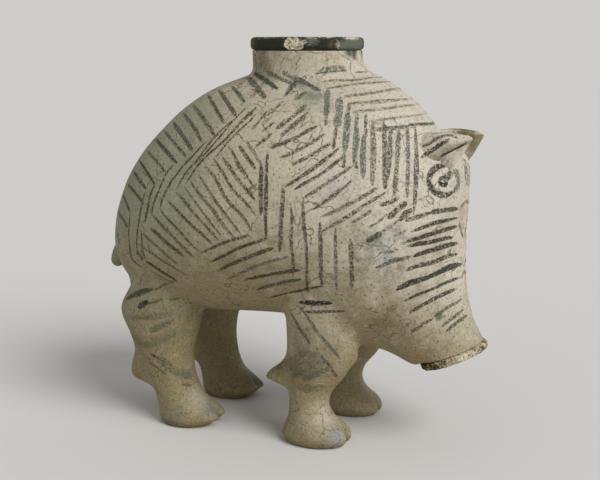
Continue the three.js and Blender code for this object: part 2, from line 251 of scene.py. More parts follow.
# Slides places on a surface a distance along it, each in its own direction
def slideOn(surface, u, v, direction, distance, side, steps=4):
    for _ in range(steps):
        outwards = outwardsOf(surface, u, v, side)
        flat = unit(direction - outwards * (direction * outwards).sum(-1, keepdims=True))
        perU, perV = perMillimetre(surface, u, v, flat, side)
        u, v = u + perU * distance / steps, v + perV * distance / steps
    return u, v


creaseAngle = 50.0       # degrees; a sharper edge than this isn't smoothed


# A closed mesh from rings of points, one ring after another. The ends are drawn to the middles
# of the first and last rings or, for a loop, the last ring joins the first.
def closedMesh(name, rings, loop=False, crease=creaseAngle):
    count, sides = rings.shape[:2]
    ring, side = np.meshgrid(np.arange(count if loop else count - 1), np.arange(sides), indexing="ij")
    nextRing, nextSide = (ring + 1) % count, (side + 1) % sides
    corners = [ring * sides + side, ring * sides + nextSide,
               nextRing * sides + nextSide, nextRing * sides + side]
    quads = np.stack(corners, -1).reshape(-1, 4)
    points = rings.reshape(-1, 3)
    a, b, c, d = (points[quads[:, k]] for k in range(4))
    outwardVolume = (a * np.cross(b, c)).sum() + (a * np.cross(c, d)).sum()
    faces = quads.tolist()
    if not loop:
        around = np.arange(sides)
        points = np.vstack([points, rings[0].mean(0), rings[-1].mean(0)])
        first, last = np.full(sides, count * sides), np.full(sides, count * sides + 1)
        lastRing = (count - 1) * sides
        faces += np.stack([first, (around + 1) % sides, around], -1).tolist()
        faces += np.stack([last, lastRing + around, lastRing + (around + 1) % sides], -1).tolist()
    if outwardVolume < 0:
        faces = [face[::-1] for face in faces]
    mesh = bpy.data.meshes.new(name)
    mesh.from_pydata((points * metresPerMm).tolist(), [], faces)
    mesh.polygons.foreach_set("use_smooth", np.ones(len(faces), bool))
    mesh.set_sharp_from_angle(angle=math.radians(crease))
    mesh.update()
    return mesh


# Puts a mesh in the scene as a piece that stands in for the named nodes
def addPiece(name, mesh, material, slot, *nodes):
    piece = bpy.data.objects.new(name, mesh)
    bpy.context.scene.collection.objects.link(piece)
    mesh.materials.clear()
    mesh.materials.append(material)
    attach(piece, "root")
    if nodes:
        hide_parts(*nodes)


# Keeps one number for each of a mesh's points, for its material to read
def storeValues(mesh, name, values):
    layer = mesh.attributes.new(name, "FLOAT", "POINT")
    layer.data.foreach_set("value", np.asarray(values, np.float32).ravel())


# The hollow body, as cross-sections from the rump to the snout: the back's x and z, the belly's
# x and z, and half the width. z counts from the belly's height.
body = {
    "stations": [
        (-65.0, 25.0, -65.0, 25.0, 0.0),
        (-64.0, 38.5, -61.5, 13.5, 16.5),
        (-58.0, 53.5, -54.0, 6.5, 27.5),
        (-47.5, 68.2, -43.5, 2.5, 35.5),
        (-32.0, 81.2, -29.5, 1.6, 40.0),
        (-11.0, 90.3, -11.5, 2.0, 41.5),
        (11.0, 93.2, 6.0, 2.4, 40.5),
        (31.0, 90.8, 21.0, -1.0, 37.5),
        (47.0, 82.0, 31.0, -5.4, 33.0),
        (58.5, 69.5, 37.5, -6.8, 28.5),
        (66.6, 58.5, 42.0, -8.2, 24.0),
        (66.7, 38.0, 46.0, -9.8, 19.5),
        (67.9, 21.0, 49.5, -11.4, 15.6),
        (70.6, 7.6, 52.0, -11.6, 13.2),
        (74.6, -1.3, 53.8, -9.7, 13.2),
    ],
    "bellyHeight": 40.0,
    "widestShare": 0.47,
    "wall": 5.0,
    "cavityEnd": 12.4,       # the station where the hollow ends in the snout
    "tipStation": 0.03,      # the first ring, just short of the rump's tip
    "middle": 45.0,          # a height inside the hollow, counted from the belly's
    "rings": 190,
    "sides": 176,
    "cavityRings": 60,
    "cavitySides": 72,
}
lastStation = len(body["stations"]) - 1


# The skin before its unevenness: each cross-section is a squashed circle whose upper part reaches
# from its widest line to the back and whose lower part reaches to the belly.
def bareSkin(station, around, side=farSide):
    backX, backZ, bellyX, bellyZ, halfWidth = body["stations"][1]
    pastTheTip = (bellyX, bellyZ, backX, backZ, -halfWidth)
    row = along(body["stations"], station, pastTheTip)
    rise, widest = np.cos(around), body["widestShare"]
    share = np.where(rise > 0, widest + (1 - widest) * rise, widest * (1 + rise))
    x = blend(row[..., 2], row[..., 0], share) + shiftX
    y = side * row[..., 4] * np.sin(around)
    z = body["bellyHeight"] + blend(row[..., 3], row[..., 1], share)
    return np.stack([x, y, z], -1)


bareBody = {"shape": bareSkin, "turn": 1, "uRange": (0.05, lastStation), "vRange": (0, math.pi)}


# The skin with its unevenness, moved outwards by a lift
def skinShape(station, around, side=farSide, lift=0.0):
    station = np.maximum(station, body["tipStation"])
    points = bareSkin(station, around, side)
    outwards = outwardsOf(bareBody, station, around, side)
    return points + outwards * (unevenness(points) + lift)[..., None]


skin = dict(bareBody, shape=skinShape)


# Closed rings of the skin, evenly spaced by station from the rump's tip
def skinRings(lift, endStation, count, sides):
    stations = np.linspace(body["tipStation"], endStation, count)
    around = np.linspace(0, 2 * math.pi, sides, endpoint=False)
    return skinShape(*np.meshgrid(stations, around, indexing="ij"), lift=lift)


# Takes one closed mesh away from another
def carve(mesh, cutter):
    whole, tool = (bpy.data.objects.new(m.name, m) for m in (mesh, cutter))
    for thing in (whole, tool):
        bpy.context.scene.collection.objects.link(thing)
    cut = whole.modifiers.new("cut", "BOOLEAN")
    cut.operation = "DIFFERENCE"
    cut.solver = "EXACT"
    cut.object = tool
    bpy.context.view_layer.update()
    shaped = whole.evaluated_get(bpy.context.evaluated_depsgraph_get())
    carved = bpy.data.meshes.new_from_object(shaped)
    for thing in (whole, tool):
        bpy.data.objects.remove(thing)
    return carved


# Two circles around the mouth's upright line, closed into a cutter
def uprightCylinder(radius, low, high, sides=96):
    around = np.linspace(0, 2 * math.pi, sides, endpoint=False)
    ring = np.stack([mouth["x"] + shiftX + radius * np.cos(around), radius * np.sin(around)], -1)
    rings = [np.column_stack([ring, np.full(sides, height)]) for height in (low, high)]
    return closedMesh("cylinder", np.array(rings))


spigotRadius = (mouth["bore"] + mouth["neck"]) / 2


# The skin less its cavity and less the hole for the collar's spigot
def bodyMesh():
    outside = closedMesh("bodySkin", skinRings(0, lastStation, body["rings"], body["sides"]))
    cavityRings = skinRings(-body["wall"], body["cavityEnd"], body["cavityRings"], body["cavitySides"])
    hollow = carve(outside, closedMesh("cavity", cavityRings))
    middle = body["bellyHeight"] + body["middle"]
    opened = carve(hollow, uprightCylinder(spigotRadius, middle, mouth["top"]))
    opened.polygons.foreach_set("use_smooth", np.ones(len(opened.polygons), bool))
    opened.set_sharp_from_angle(angle=math.radians(creaseAngle))
    return opened


fillet = {
    "past": 1.2,          # how far past its end the hidden ring lies, and how deep under the skin
    "pastDepth": 0.35,
    "lift": 0.02,
    "overMiddle": 0.4,    # how far past the body's middle plane its wall is looked for, in radians
    "columns": 120,
}


# A fillet's column at time t: a quadratic curve from the wall, by way of the corner, to the skin
def filletCurve(start, corner, end, t):
    t = t[..., None]
    return (1 - t) ** 2 * start + 2 * t * (1 - t) * corner + t * t * end


# Where a wall around an upright axis meets the skin, and the ends of its fillet, for a table of
# angles. facing is 1 for a wall that stands on the back and -1 for one under the belly.
def filletTable(wallAt, centre, flareAt, facing, side):
    count, overMiddle = fillet["columns"], fillet["overMiddle"]
    angles = np.linspace(0, 2 * math.pi, count, endpoint=False)
    wall, flare = wallAt(angles, side), flareAt(angles)
    fromAbove = lambda points: points[..., :2]
    upward = lambda points, outwards: facing * outwards[..., 2]
    wider = dict(skin, vRange=(-overMiddle, math.pi + overMiddle))
    u, v = findOn(wider, wall[:, :2], fromAbove, upward, side)
    away = np.column_stack([unit(wall[:, :2] - centre), np.zeros(count)])
    corner = skinShape(u, v, side)
    endU, endV = slideOn(skin, u, v, away, flare, side)
    pastU, pastV = slideOn(skin, u, v, away, flare + fillet["past"], side)
    return {
        "angles": angles,
        "start": corner + facing * flare[:, None] * np.array([0, 0, 1]),
        "corner": corner,
        "end": skinShape(endU, endV, side, lift=fillet["lift"]),
        "past": skinShape(pastU, pastV, side, lift=-fillet["pastDepth"]),
        "u": u,
        "v": v,
    }


# A table's points at any angles, by straight lines between its rows
def fromTable(table, name, angles):
    columns = [np.interp(angles, table["angles"], table[name][:, k], period=2 * math.pi)
               for k in range(3)]
    return np.stack(columns, -1)


# The collar: a short tube that leans into the back through a fillet. u is 0 at its top, 1 where
# the fillet starts and 2 where it ends on the back; v is the angle from the snout's side.
def collarWall(angles, side):
    x = mouth["x"] + shiftX + mouth["neck"] * np.cos(angles)
    y = side * mouth["neck"] * np.sin(angles)
    return np.stack([x, y, np.full_like(x, mouth["top"] - mouth["rimHeight"])], -1)


mouthCentre = np.array([mouth["x"] + shiftX, 0.0])
collarFlare = lambda angles: mouth["flare"] + mouth["flareTurn"] * np.cos(angles)
collarTables = {side: filletTable(collarWall, mouthCentre, collarFlare, 1, side)
                for side in (nearSide, farSide)}


# The wall straight down to the fillet's start, then the fillet's curve, with the clay's unevenness
# fading out along it
def collarShape(u, v, side):
    table = collarTables[side]
    start, corner, end = (fromTable(table, name, v) for name in ("start", "corner", "end"))
    wall = collarWall(v, side)
    wall[..., 2] = blend(wall[..., 2], start[..., 2], np.clip(u, 0, 1))
    points = np.where(u[..., None] < 1, wall, filletCurve(start, corner, end, np.clip(u - 1, 0, 1)))
    away = np.zeros_like(points)
    away[..., :2] = unit(points[..., :2] - mouthCentre)
    fade = 1 - np.clip(u - 1, 0, 1)
    return points + away * (fade * unevenness(points))[..., None]


collar = {"shape": collarShape, "turn": 1, "uRange": (0.0, 1.98), "vRange": (0, 2 * math.pi)}


# The collar's outside, then the fillet's hidden edge, the spigot through the wall and the bore
def collarMesh():
    sides = mouth["sides"]
    around = np.linspace(0, 2 * math.pi, sides, endpoint=False)
    table = collarTables[farSide]
    levels = np.concatenate([np.linspace(0, 1, mouth["tubeRings"]),
                             np.linspace(1, 2, mouth["filletRings"])[1:]])
    outside = collarShape(*np.meshgrid(levels, around, indexing="ij"), farSide)
    past = fromTable(table, "past", around)[None]
    corner = fromTable(table, "corner", around)

    # A ring around the mouth's upright line, with its heights
    def ringAt(radius, height):
        x = mouthCentre[0] + radius * np.cos(around)
        return np.stack([x, radius * np.sin(around), height + np.zeros(sides)], -1)[None]

    top = mouth["top"] - mouth["rimHeight"]
    under = corner[:, 2] - body["wall"]
    spigot = [ringAt(spigotRadius, corner[:, 2] - mouth["spigotDrop"]),
              ringAt(spigotRadius, under), ringAt(mouth["bore"], under)]
    bore = [ringAt(mouth["bore"], blend(under, top, share)) for share in mouth["boreShares"]]
    return closedMesh("collar", np.concatenate([outside, past, *spigot, *bore]), loop=True)


# The lip: a thick ring with rounded edges, a little uneven, and chipped where the camera sees it.
# Its patches say where the paint is worn to clay, is brown or is grey. A place is in pixels across
# the image and millimetres of height, and so is its reach.
lip = {
    "squareness": 3.2,
    "wobble": 0.25,
    "wobbleWaves": ((3, 0.8), (5, 2.1)),     # how many around the mouth, and where each starts
    "chip": {"at": (294.5, 140.7), "reach": (11.5, 2.7)},
    "chipDepth": 0.9,
    "chipEdge": (0.75, 1.1),       # where it fades, as shares of its reach
    "chipRagged": (1.6, 1.2),      # how far its edge wanders, in pixels
    "chipWaves": (2.3, 0.7),       # how fast it wanders, by height and across the image
    "chipRaggedUp": 0.2,           # how far it wanders up for each pixel across
    "outside": (0.2, 0.7),         # where the chip comes in, from the lip's top to its outer face
    "patches": {
        "worn": [
            {"at": (327.0, 143.1), "reach": (13.0, 0.7), "strength": 0.8},
            {"at": (351.0, 142.8), "reach": (9.0, 1.0), "strength": 0.85},
            {"at": (264.0, 143.1), "reach": (12.0, 0.5), "strength": 0.6},
            {"at": (305.0, 143.1), "reach": (90.0, 0.8), "strength": 0.52},
            {"at": (338.0, 140.6), "reach": (2.4, 2.2), "strength": 0.5},
        ],
        "brown": [
            {"at": (252.0, 141.0), "reach": (4.0, 1.8), "strength": 0.9},
            {"at": (331.0, 140.2), "reach": (5.5, 1.4), "strength": 0.75},
            {"at": (309.0, 138.7), "reach": (14.0, 0.5), "strength": 0.6},
        ],
        "grey": [
            {"at": (353.0, 140.5), "reach": (17.0, 4.0), "strength": 1.0},
            {"at": (311.0, 141.6), "reach": (11.0, 2.0), "strength": 0.8},
        ],
    },
    "sides": 220,
    "profile": 40,
}


# A squarish oval profile carried around the mouth, with a slight wobble, the chip pressed inwards
# and the patches kept as values
def lipMesh():
    around, turn = np.meshgrid(np.linspace(0, 2 * math.pi, lip["sides"], endpoint=False),
                               np.linspace(0, 2 * math.pi, lip["profile"], endpoint=False),
                               indexing="ij")
    power = 2 / lip["squareness"]
    halfThick, halfHigh = (mouth["rim"] - mouth["bore"]) / 2, mouth["rimHeight"] / 2
    across = np.sign(np.cos(turn)) * np.abs(np.cos(turn)) ** power
    up = np.sign(np.sin(turn)) * np.abs(np.sin(turn)) ** power
    radius = mouth["bore"] + halfThick * (1 + across)
    (few, fewStart), (more, moreStart) = lip["wobbleWaves"]
    radius += lip["wobble"] * np.sin(few * around + fewStart) * np.sin(more * around + moreStart)
    height = mouth["top"] - halfHigh + halfHigh * up
    rings = np.stack([mouthCentre[0] + radius * np.cos(around), radius * np.sin(around), height], -1)
    pixels = inImage(rings)
    outside = easeIn(across, *lip["outside"]) * (rings[..., 1] < 0)
    byHeight, byPlace = lip["chipRagged"]
    heightWaves, placeWaves = lip["chipWaves"]
    ragged = (byHeight * np.sin(rings[..., 2] * heightWaves)
              + byPlace * np.sin(pixels[..., 0] * placeWaves + rings[..., 2]))

    # How far places are from the middle of a patch, as a share of its reach
    def awayFrom(patch, shift=0.0):
        beside = (pixels[..., 0] + shift - patch["at"][0]) / patch["reach"][0]
        shiftUp = lip["chipRaggedUp"] * shift
        above = (rings[..., 2] + shiftUp - patch["at"][1]) / patch["reach"][1]
        return np.hypot(beside, above)

    chip = outside * (1 - easeIn(awayFrom(lip["chip"], ragged), *lip["chipEdge"]))
    inwards = np.zeros_like(rings)
    inwards[..., 0], inwards[..., 1] = -np.cos(around), -np.sin(around)
    layers = {"chip": chip}
    for name, patches in lip["patches"].items():
        spread = [patch["strength"] * np.exp(-awayFrom(patch) ** 2) for patch in patches]
        layers[name] = np.max(spread, 0) * (across > 0)
    mesh = closedMesh("lip", rings + inwards * (lip["chipDepth"] * chip)[..., None], loop=True)
    for name, values in layers.items():
        storeValues(mesh, name, values)
    return mesh


# Legs. Each station is one level: its height, then from the leg's own upright line the reach
# forwards and backwards, and half the width. The spur is the point on the leg's back edge.
frontLeg = {
    "x": 18.5,
    "spread": 17.5,
    "stations": [
        (0, 12.4, 10.0, 8.6), (2.4, 14.0, 11.8, 9.6), (5.5, 13.0, 10.8, 9.4),
        (9.5, 7.8, 9.3, 8.2), (14, 5.8, 8.9, 7.2), (19, 7.2, 9.1, 7.3),
        (24, 11.1, 9.2, 8.6), (29, 14.0, 9.3, 9.6), (36, 16.0, 9.5, 10.4),
        (44, 16.2, 9.8, 11.2),
    ],
    "spurHeight": 21.6,
    "spurReach": 9.1,
    "spurAbove": 6.2,
    "spurBelow": 1.9,
    "flare": 4.2,
    "sideFlare": 4.0,
}
rearLeg = {
    "x": -33.0,
    "spread": 17.5,
    "stations": [
        (0, 10.0, 10.0, 8.6), (2.4, 13.0, 11.0, 9.6), (4.4, 14.8, 11.4, 9.5),
        (8, 10.2, 11.9, 9.0), (11, 6.4, 12.6, 8.6), (17, 3.5, 15.1, 8.4),
        (24, 2.4, 18.1, 9.0), (32, 2.7, 22.3, 10.6), (39, 4.2, 26.2, 12.2),
        (47, 5.0, 21.6, 13.0),
    ],
    "spurHeight": 15.0,
    "spurReach": 9.3,
    "spurAbove": 10.2,
    "spurBelow": 1.7,
    "flare": 2.6,
    "sideFlare": 4.0,
}
limb = {
    "spurSharpness": 8,
    "cleftDepth": 3.4,
    "cleftWidth": 1.5,
    "cleftHeight": 8.5,
    "cleftFade": 4.0,
    "soleRounding": 0.8,
    "soleShares": (0.25, 0.6, 0.9),              # rings that close the sole
    "hiddenShares": (0.85, 0.6, 0.35, 0.12),     # rings that close the leg under the skin
    "hiddenDepth": 1.8,
    "evenBelow": 6.0,     # under this height the clay's unevenness fades
    "readings": 600,      # along a leg's height
    "lowShare": 0.06,     # the part of the shin that has closer rings
    "lowRings": 7,
    "footRings": 34,
    "thighRings": 22,
    "filletRings": 22,
    "sides": 96,
}


# One leg's surface: u runs 0 to 1 up the shin to the spur's top, to 2 up the thigh and to 3 along
# the fillet onto the belly; v is the angle from the front over the outer side.
def legSurface(leg):
    stations = np.array(leg["stations"], float)
    lastRow = len(stations) - 1
    rows = np.linspace(0, lastRow, limb["readings"])
    heights = along(stations, rows)[:, 0]
    thighHeight = leg["spurHeight"] + leg["spurAbove"]
    thighRow = np.interp(thighHeight, heights, rows)

    # A level cross-section: an oval with the spur drawn out of its back and the cleft in its front
    def wall(row, angles, side):
        height, front, back, halfWidth = np.moveaxis(along(stations, row), -1, 0)
        forwards = np.cos(angles)
        rise = height - leg["spurHeight"]
        rise = rise / np.where(rise > 0, leg["spurAbove"], leg["spurBelow"])
        pull = np.maximum(0, -forwards) ** limb["spurSharpness"]
        spur = leg["spurReach"] * np.exp(-rise * rise) * pull
        top = limb["cleftHeight"]
        cleft = np.exp(-(np.sin(angles) * halfWidth / limb["cleftWidth"]) ** 2) * (forwards > 0)
        cleft = cleft * limb["cleftDepth"] * (1 - easeIn(height, top - limb["cleftFade"], top))
        soleEdge = np.maximum(0, 1 - height / limb["soleRounding"]) ** 2 * limb["soleRounding"]
        middle = leg["x"] + shiftX + (front - back) / 2
        x = middle + ((front + back) / 2 - soleEdge) * forwards - spur - cleft
        y = side * (leg["spread"] + (halfWidth - soleEdge) * np.sin(angles))
        return np.stack([x, y, height + np.zeros_like(x)], -1)

    topWall = lambda angles, side: wall(np.full_like(angles, lastRow), angles, side)
    topMiddle = leg["x"] + shiftX + (stations[-1, 1] - stations[-1, 2]) / 2
    flareAt = lambda angles: leg["flare"] + leg["sideFlare"] * np.sin(angles) ** 2
    tables = {side: filletTable(topWall, (topMiddle, side * leg["spread"]), flareAt, -1, side)
              for side in (nearSide, farSide)}

    def shape(u, v, side):
        table = tables[side]
        start, corner, end = (fromTable(table, name, v) for name in ("start", "corner", "end"))
        shin = wall(np.interp(np.clip(u, 0, 1) * thighHeight, heights, rows), v, side)
        rise = np.clip(u - 1, 0, 1)
        thigh = wall(blend(thighRow, lastRow, rise), v, side)
        thigh[..., 2] = blend(thighHeight, start[..., 2], rise)
        flared = filletCurve(start, corner, end, np.clip(u - 2, 0, 1))
        step = u[..., None]
        points = np.where(step < 1, shin, np.where(step < 2, thigh, flared))
        away = np.stack([np.cos(v), side * np.sin(v), np.zeros_like(v)], -1)
        fade = (1 - np.clip(u - 2, 0, 1)) * easeIn(points[..., 2], 0, limb["evenBelow"])
        return points + away * (fade * unevenness(points))[..., None]

    return {"shape": shape, "turn": -1, "uRange": (0.0, 2.98), "vRange": (0, 2 * math.pi),
            "tables": tables}


legSurfaces = {"front": legSurface(frontLeg), "rear": legSurface(rearLeg)}


# The leg's rings from its sole to the fillet's end, closed flat below and under the skin above
def legMesh(name, surface, side):
    levels = np.concatenate([
        np.linspace(0, limb["lowShare"], limb["lowRings"]),
        np.linspace(limb["lowShare"], 1, limb["footRings"])[1:],
        np.linspace(1, 2, limb["thighRings"])[1:], np.linspace(2, 3, limb["filletRings"])[1:]])
    around = np.linspace(0, 2 * math.pi, limb["sides"], endpoint=False)
    wall = surface["shape"](*np.meshgrid(levels, around, indexing="ij"), side)
    table = surface["tables"][side]
    past = fromTable(table, "past", around)[None]
    middleU, middleV = table["u"].mean(), table["v"].mean()
    u = np.interp(around, table["angles"], table["u"], period=2 * math.pi)
    v = np.interp(around, table["angles"], table["v"], period=2 * math.pi)
    shares = np.array(limb["hiddenShares"])[:, None]
    hidden = skinShape(blend(middleU, u, shares), blend(middleV, v, shares), side,
                       lift=-limb["hiddenDepth"])
    sole = wall[0].mean(0)
    soleRings = np.array([blend(sole, wall[0], share) for share in limb["soleShares"]])
    return closedMesh(name, np.concatenate([soleRings, wall, past, hidden]))


# Ears: a pinched leaf of clay that grows out of the brow, with a web of clay pressed under it. u
# runs from inside the brow, over 0 at the root, to 1 at the tip; v is the angle around the leaf.
ear = {
    "station": 9.002,
    "around": 23.0,
    "length": 14.2,
    "width": 5.4,
    "lean": 0.15,        # how far the leaf lies towards the middle, as a share of its width
    "thickness": 4.4,
    "camber": 3.2,
    "web": 9.8,          # the web's depth at the root, which shrinks evenly to nothing at the tip
    "webLongest": 6.5,   # but it is never deeper than this
    "webFrom": (-0.1, 0.35),     # where along the leaf it comes in
    "webRoundness": 0.7,
    "webForwards": 1.1,
    "webInwards": 1.5,   # how far it leans inwards at the tip
    "webAtRoot": 3.0,    # how many times more it leans at the root
    "webFade": 6,        # the power with which it ends at the tip
    "direction": (0.936, -0.194, 0.24),
    "tipShare": 0.14,
    "point": 1.7,
    "roundFrom": 0.9,
    "roundGap": 0.02,    # between the leaf's last ring and the round tip's first
    "sunk": 4.0,
    "rootSpread": 0.35,
    "rootReach": 3.5,
    "rootSink": 5.2,     # how far its root end lies under the brow, and where it is out of it
    "clearAt": 6.5,
    "rings": 46,
    "tipRings": 9,
    "sides": 64,
}


# The leaf's middle line runs straight from the brow. Its half width and thickness shrink towards
# the tip, the camber lifts its middle, and the web draws its underside down.
def earShape(u, v, side):
    station, around = np.array(ear["station"]), np.array(math.radians(ear["around"]))
    root = skinShape(station, around, side)
    outwards = outwardsOf(bareBody, station, around, side)
    forwards = unit(np.array(ear["direction"]) * (1, side, 1))
    across = unit(np.cross(outwards, forwards))
    over = unit(np.cross(forwards, across))
    reach = u * ear["length"]
    share = np.clip((reach + ear["sunk"]) / (ear["length"] + ear["sunk"]), 0, 1)
    taper = 1 - (1 - ear["tipShare"]) * share ** ear["point"]
    taper = taper * roundedEnd(u, ear["roundFrom"])
    spread = 1 + ear["rootSpread"] * np.exp(-(reach / ear["rootReach"]) ** 2)
    lateral = np.cos(v)
    lift = ear["camber"] * (1 - lateral ** 2) + ear["thickness"] / 2 * np.sin(v)
    under = np.clip(-np.sin(v), 0, 1) ** ear["webRoundness"] * easeIn(u, *ear["webFrom"])
    inwards = ear["webInwards"] * (1 + ear["webAtRoot"] * (1 - np.clip(u, 0, 1)) ** 2)
    downwards = np.minimum(ear["web"] * (1 - u), ear["webLongest"])
    web = (across * (side * downwards)[..., None] + forwards * ear["webForwards"]
           - over * inwards[..., None])
    sink = ear["rootSink"] * (1 - easeIn(reach, -ear["sunk"], ear["clearAt"]))
    points = root + forwards * reach[..., None] - outwards * sink[..., None]
    beside = ear["width"] * taper * spread * (lateral - side * ear["lean"])
    points = points + across * beside[..., None] + over * (taper * lift)[..., None]
    return points + web * (under * (1 - u ** ear["webFade"]))[..., None]


earSurface = {"shape": earShape, "turn": 1, "uRange": (0.0, 0.97), "vRange": (0, 2 * math.pi)}


# Rings along the leaf, and closer ones around its tip
def earMesh(name, side):
    start = -ear["sunk"] / ear["length"]
    towardsTip = np.sin(np.linspace(0.1, 1, ear["tipRings"]) * math.pi / 2)
    levels = np.concatenate([np.linspace(start, ear["roundFrom"] - ear["roundGap"], ear["rings"]),
                             blend(ear["roundFrom"], 1, towardsTip)])
    around = np.linspace(0, 2 * math.pi, ear["sides"], endpoint=False)
    return closedMesh(name, earShape(*np.meshgrid(levels, around, indexing="ij"), side))


# Tail: a tapered lump that leaves the rump's tip and curls down. u runs from 0 inside the rump
# to 1 at its rounded end; v is the angle around it.
tail = {
    "radius": 4.4,
    "reach": 8.4,
    "drop": 12.0,
    "tipShare": 0.6,
    "sunk": 4.0,
    "roundFrom": 0.86,
    "rootSpread": 0.45,
    "rootAt": 0.2,
    "rootReach": 0.12,
    "rings": 50,
    "sides": 48,
}


# The tail's middle line is a quarter of an oval, backwards and down; its circle stays square to it
def tailShape(u, v, side):
    root = bareSkin(np.array(0.0), np.array(0.0))
    turn = u * math.pi / 2
    shrink = blend(1, tail["tipShare"], u) * roundedEnd(u, tail["roundFrom"])
    thicker = np.exp(-((u - tail["rootAt"]) / tail["rootReach"]) ** 2)
    shrink = shrink * (1 + tail["rootSpread"] * thicker)
    radius = tail["radius"] * shrink
    x = root[0] + tail["sunk"] - (tail["sunk"] + tail["reach"]) * np.sin(turn)
    z = root[2] - tail["drop"] * (1 - np.cos(turn))
    x = x - np.sin(turn) * radius * np.cos(v)
    z = z + np.cos(turn) * radius * np.cos(v)
    return np.stack([x, side * radius * np.sin(v), z], -1)


# Rings that come closer together towards the tip
def tailMesh():
    levels = np.sin(np.linspace(0, 1, tail["rings"]) * math.pi / 2)
    levels = np.clip(levels, 0, 0.999)
    around = np.linspace(0, 2 * math.pi, tail["sides"], endpoint=False)
    return closedMesh("tail", tailShape(*np.meshgrid(levels, around, indexing="ij"), farSide))


# The flat disc that ends the snout, square to the last cross-section, with a worn edge
disc = {
    "thickness": 2.6,
    "overhang": 1.0,
    "rounding": 0.7,
    "roundingRings": 6,
    "wear": 0.28,
    "behind": -0.6,
    "gap": 0.3,                          # between the snout's end and the disc's back
    "backInset": (-1.5, -0.3),           # its rings behind, counted from the snout's edge
    "frontInset": (-2.5, -6.0, -9.0),    # and on its front
    "crease": 70.0,
    "sides": 160,
}


# A profile of distances forwards and past the snout's edge, carried around the snout's oval
def discMesh():
    back, belly = bareSkin(np.array(float(lastStation)), np.array([0.0, math.pi]))
    up = back - belly
    halfHeight = np.linalg.norm(up) / 2
    up = up / np.linalg.norm(up)
    forwards = np.cross([0, 1, 0], up)
    halfWidth = body["stations"][-1][4]
    edge, rear, front = disc["rounding"], disc["gap"], disc["thickness"] + disc["gap"]
    turn = np.linspace(0, math.pi / 2, disc["roundingRings"])
    forth = np.concatenate([[disc["behind"], rear], rear + edge * (1 - np.cos(turn)),
                            front - edge + edge * np.sin(turn), [front, front, front]])
    past = np.concatenate([disc["backInset"], disc["overhang"] - edge + edge * np.sin(turn),
                           disc["overhang"] - edge + edge * np.cos(turn), disc["frontInset"]])
    around = np.linspace(0, 2 * math.pi, disc["sides"], endpoint=False)
    forth, turnAround = np.meshgrid(forth, around, indexing="ij")
    past = np.broadcast_to(past[:, None], forth.shape)
    worn = np.sin(7 * turnAround + 1) * np.sin(3 * turnAround) + 0.6 * np.sin(17 * turnAround + 2)
    past = past + disc["wear"] * worn * (past > 0)
    middle = (back + belly) / 2
    rings = (middle + forwards * forth[..., None]
             + up * ((halfHeight + past) * np.cos(turnAround))[..., None]
             + np.array([0, 1, 0]) * ((halfWidth + past) * np.sin(turnAround))[..., None])
    return closedMesh("disc", rings, crease=disc["crease"])


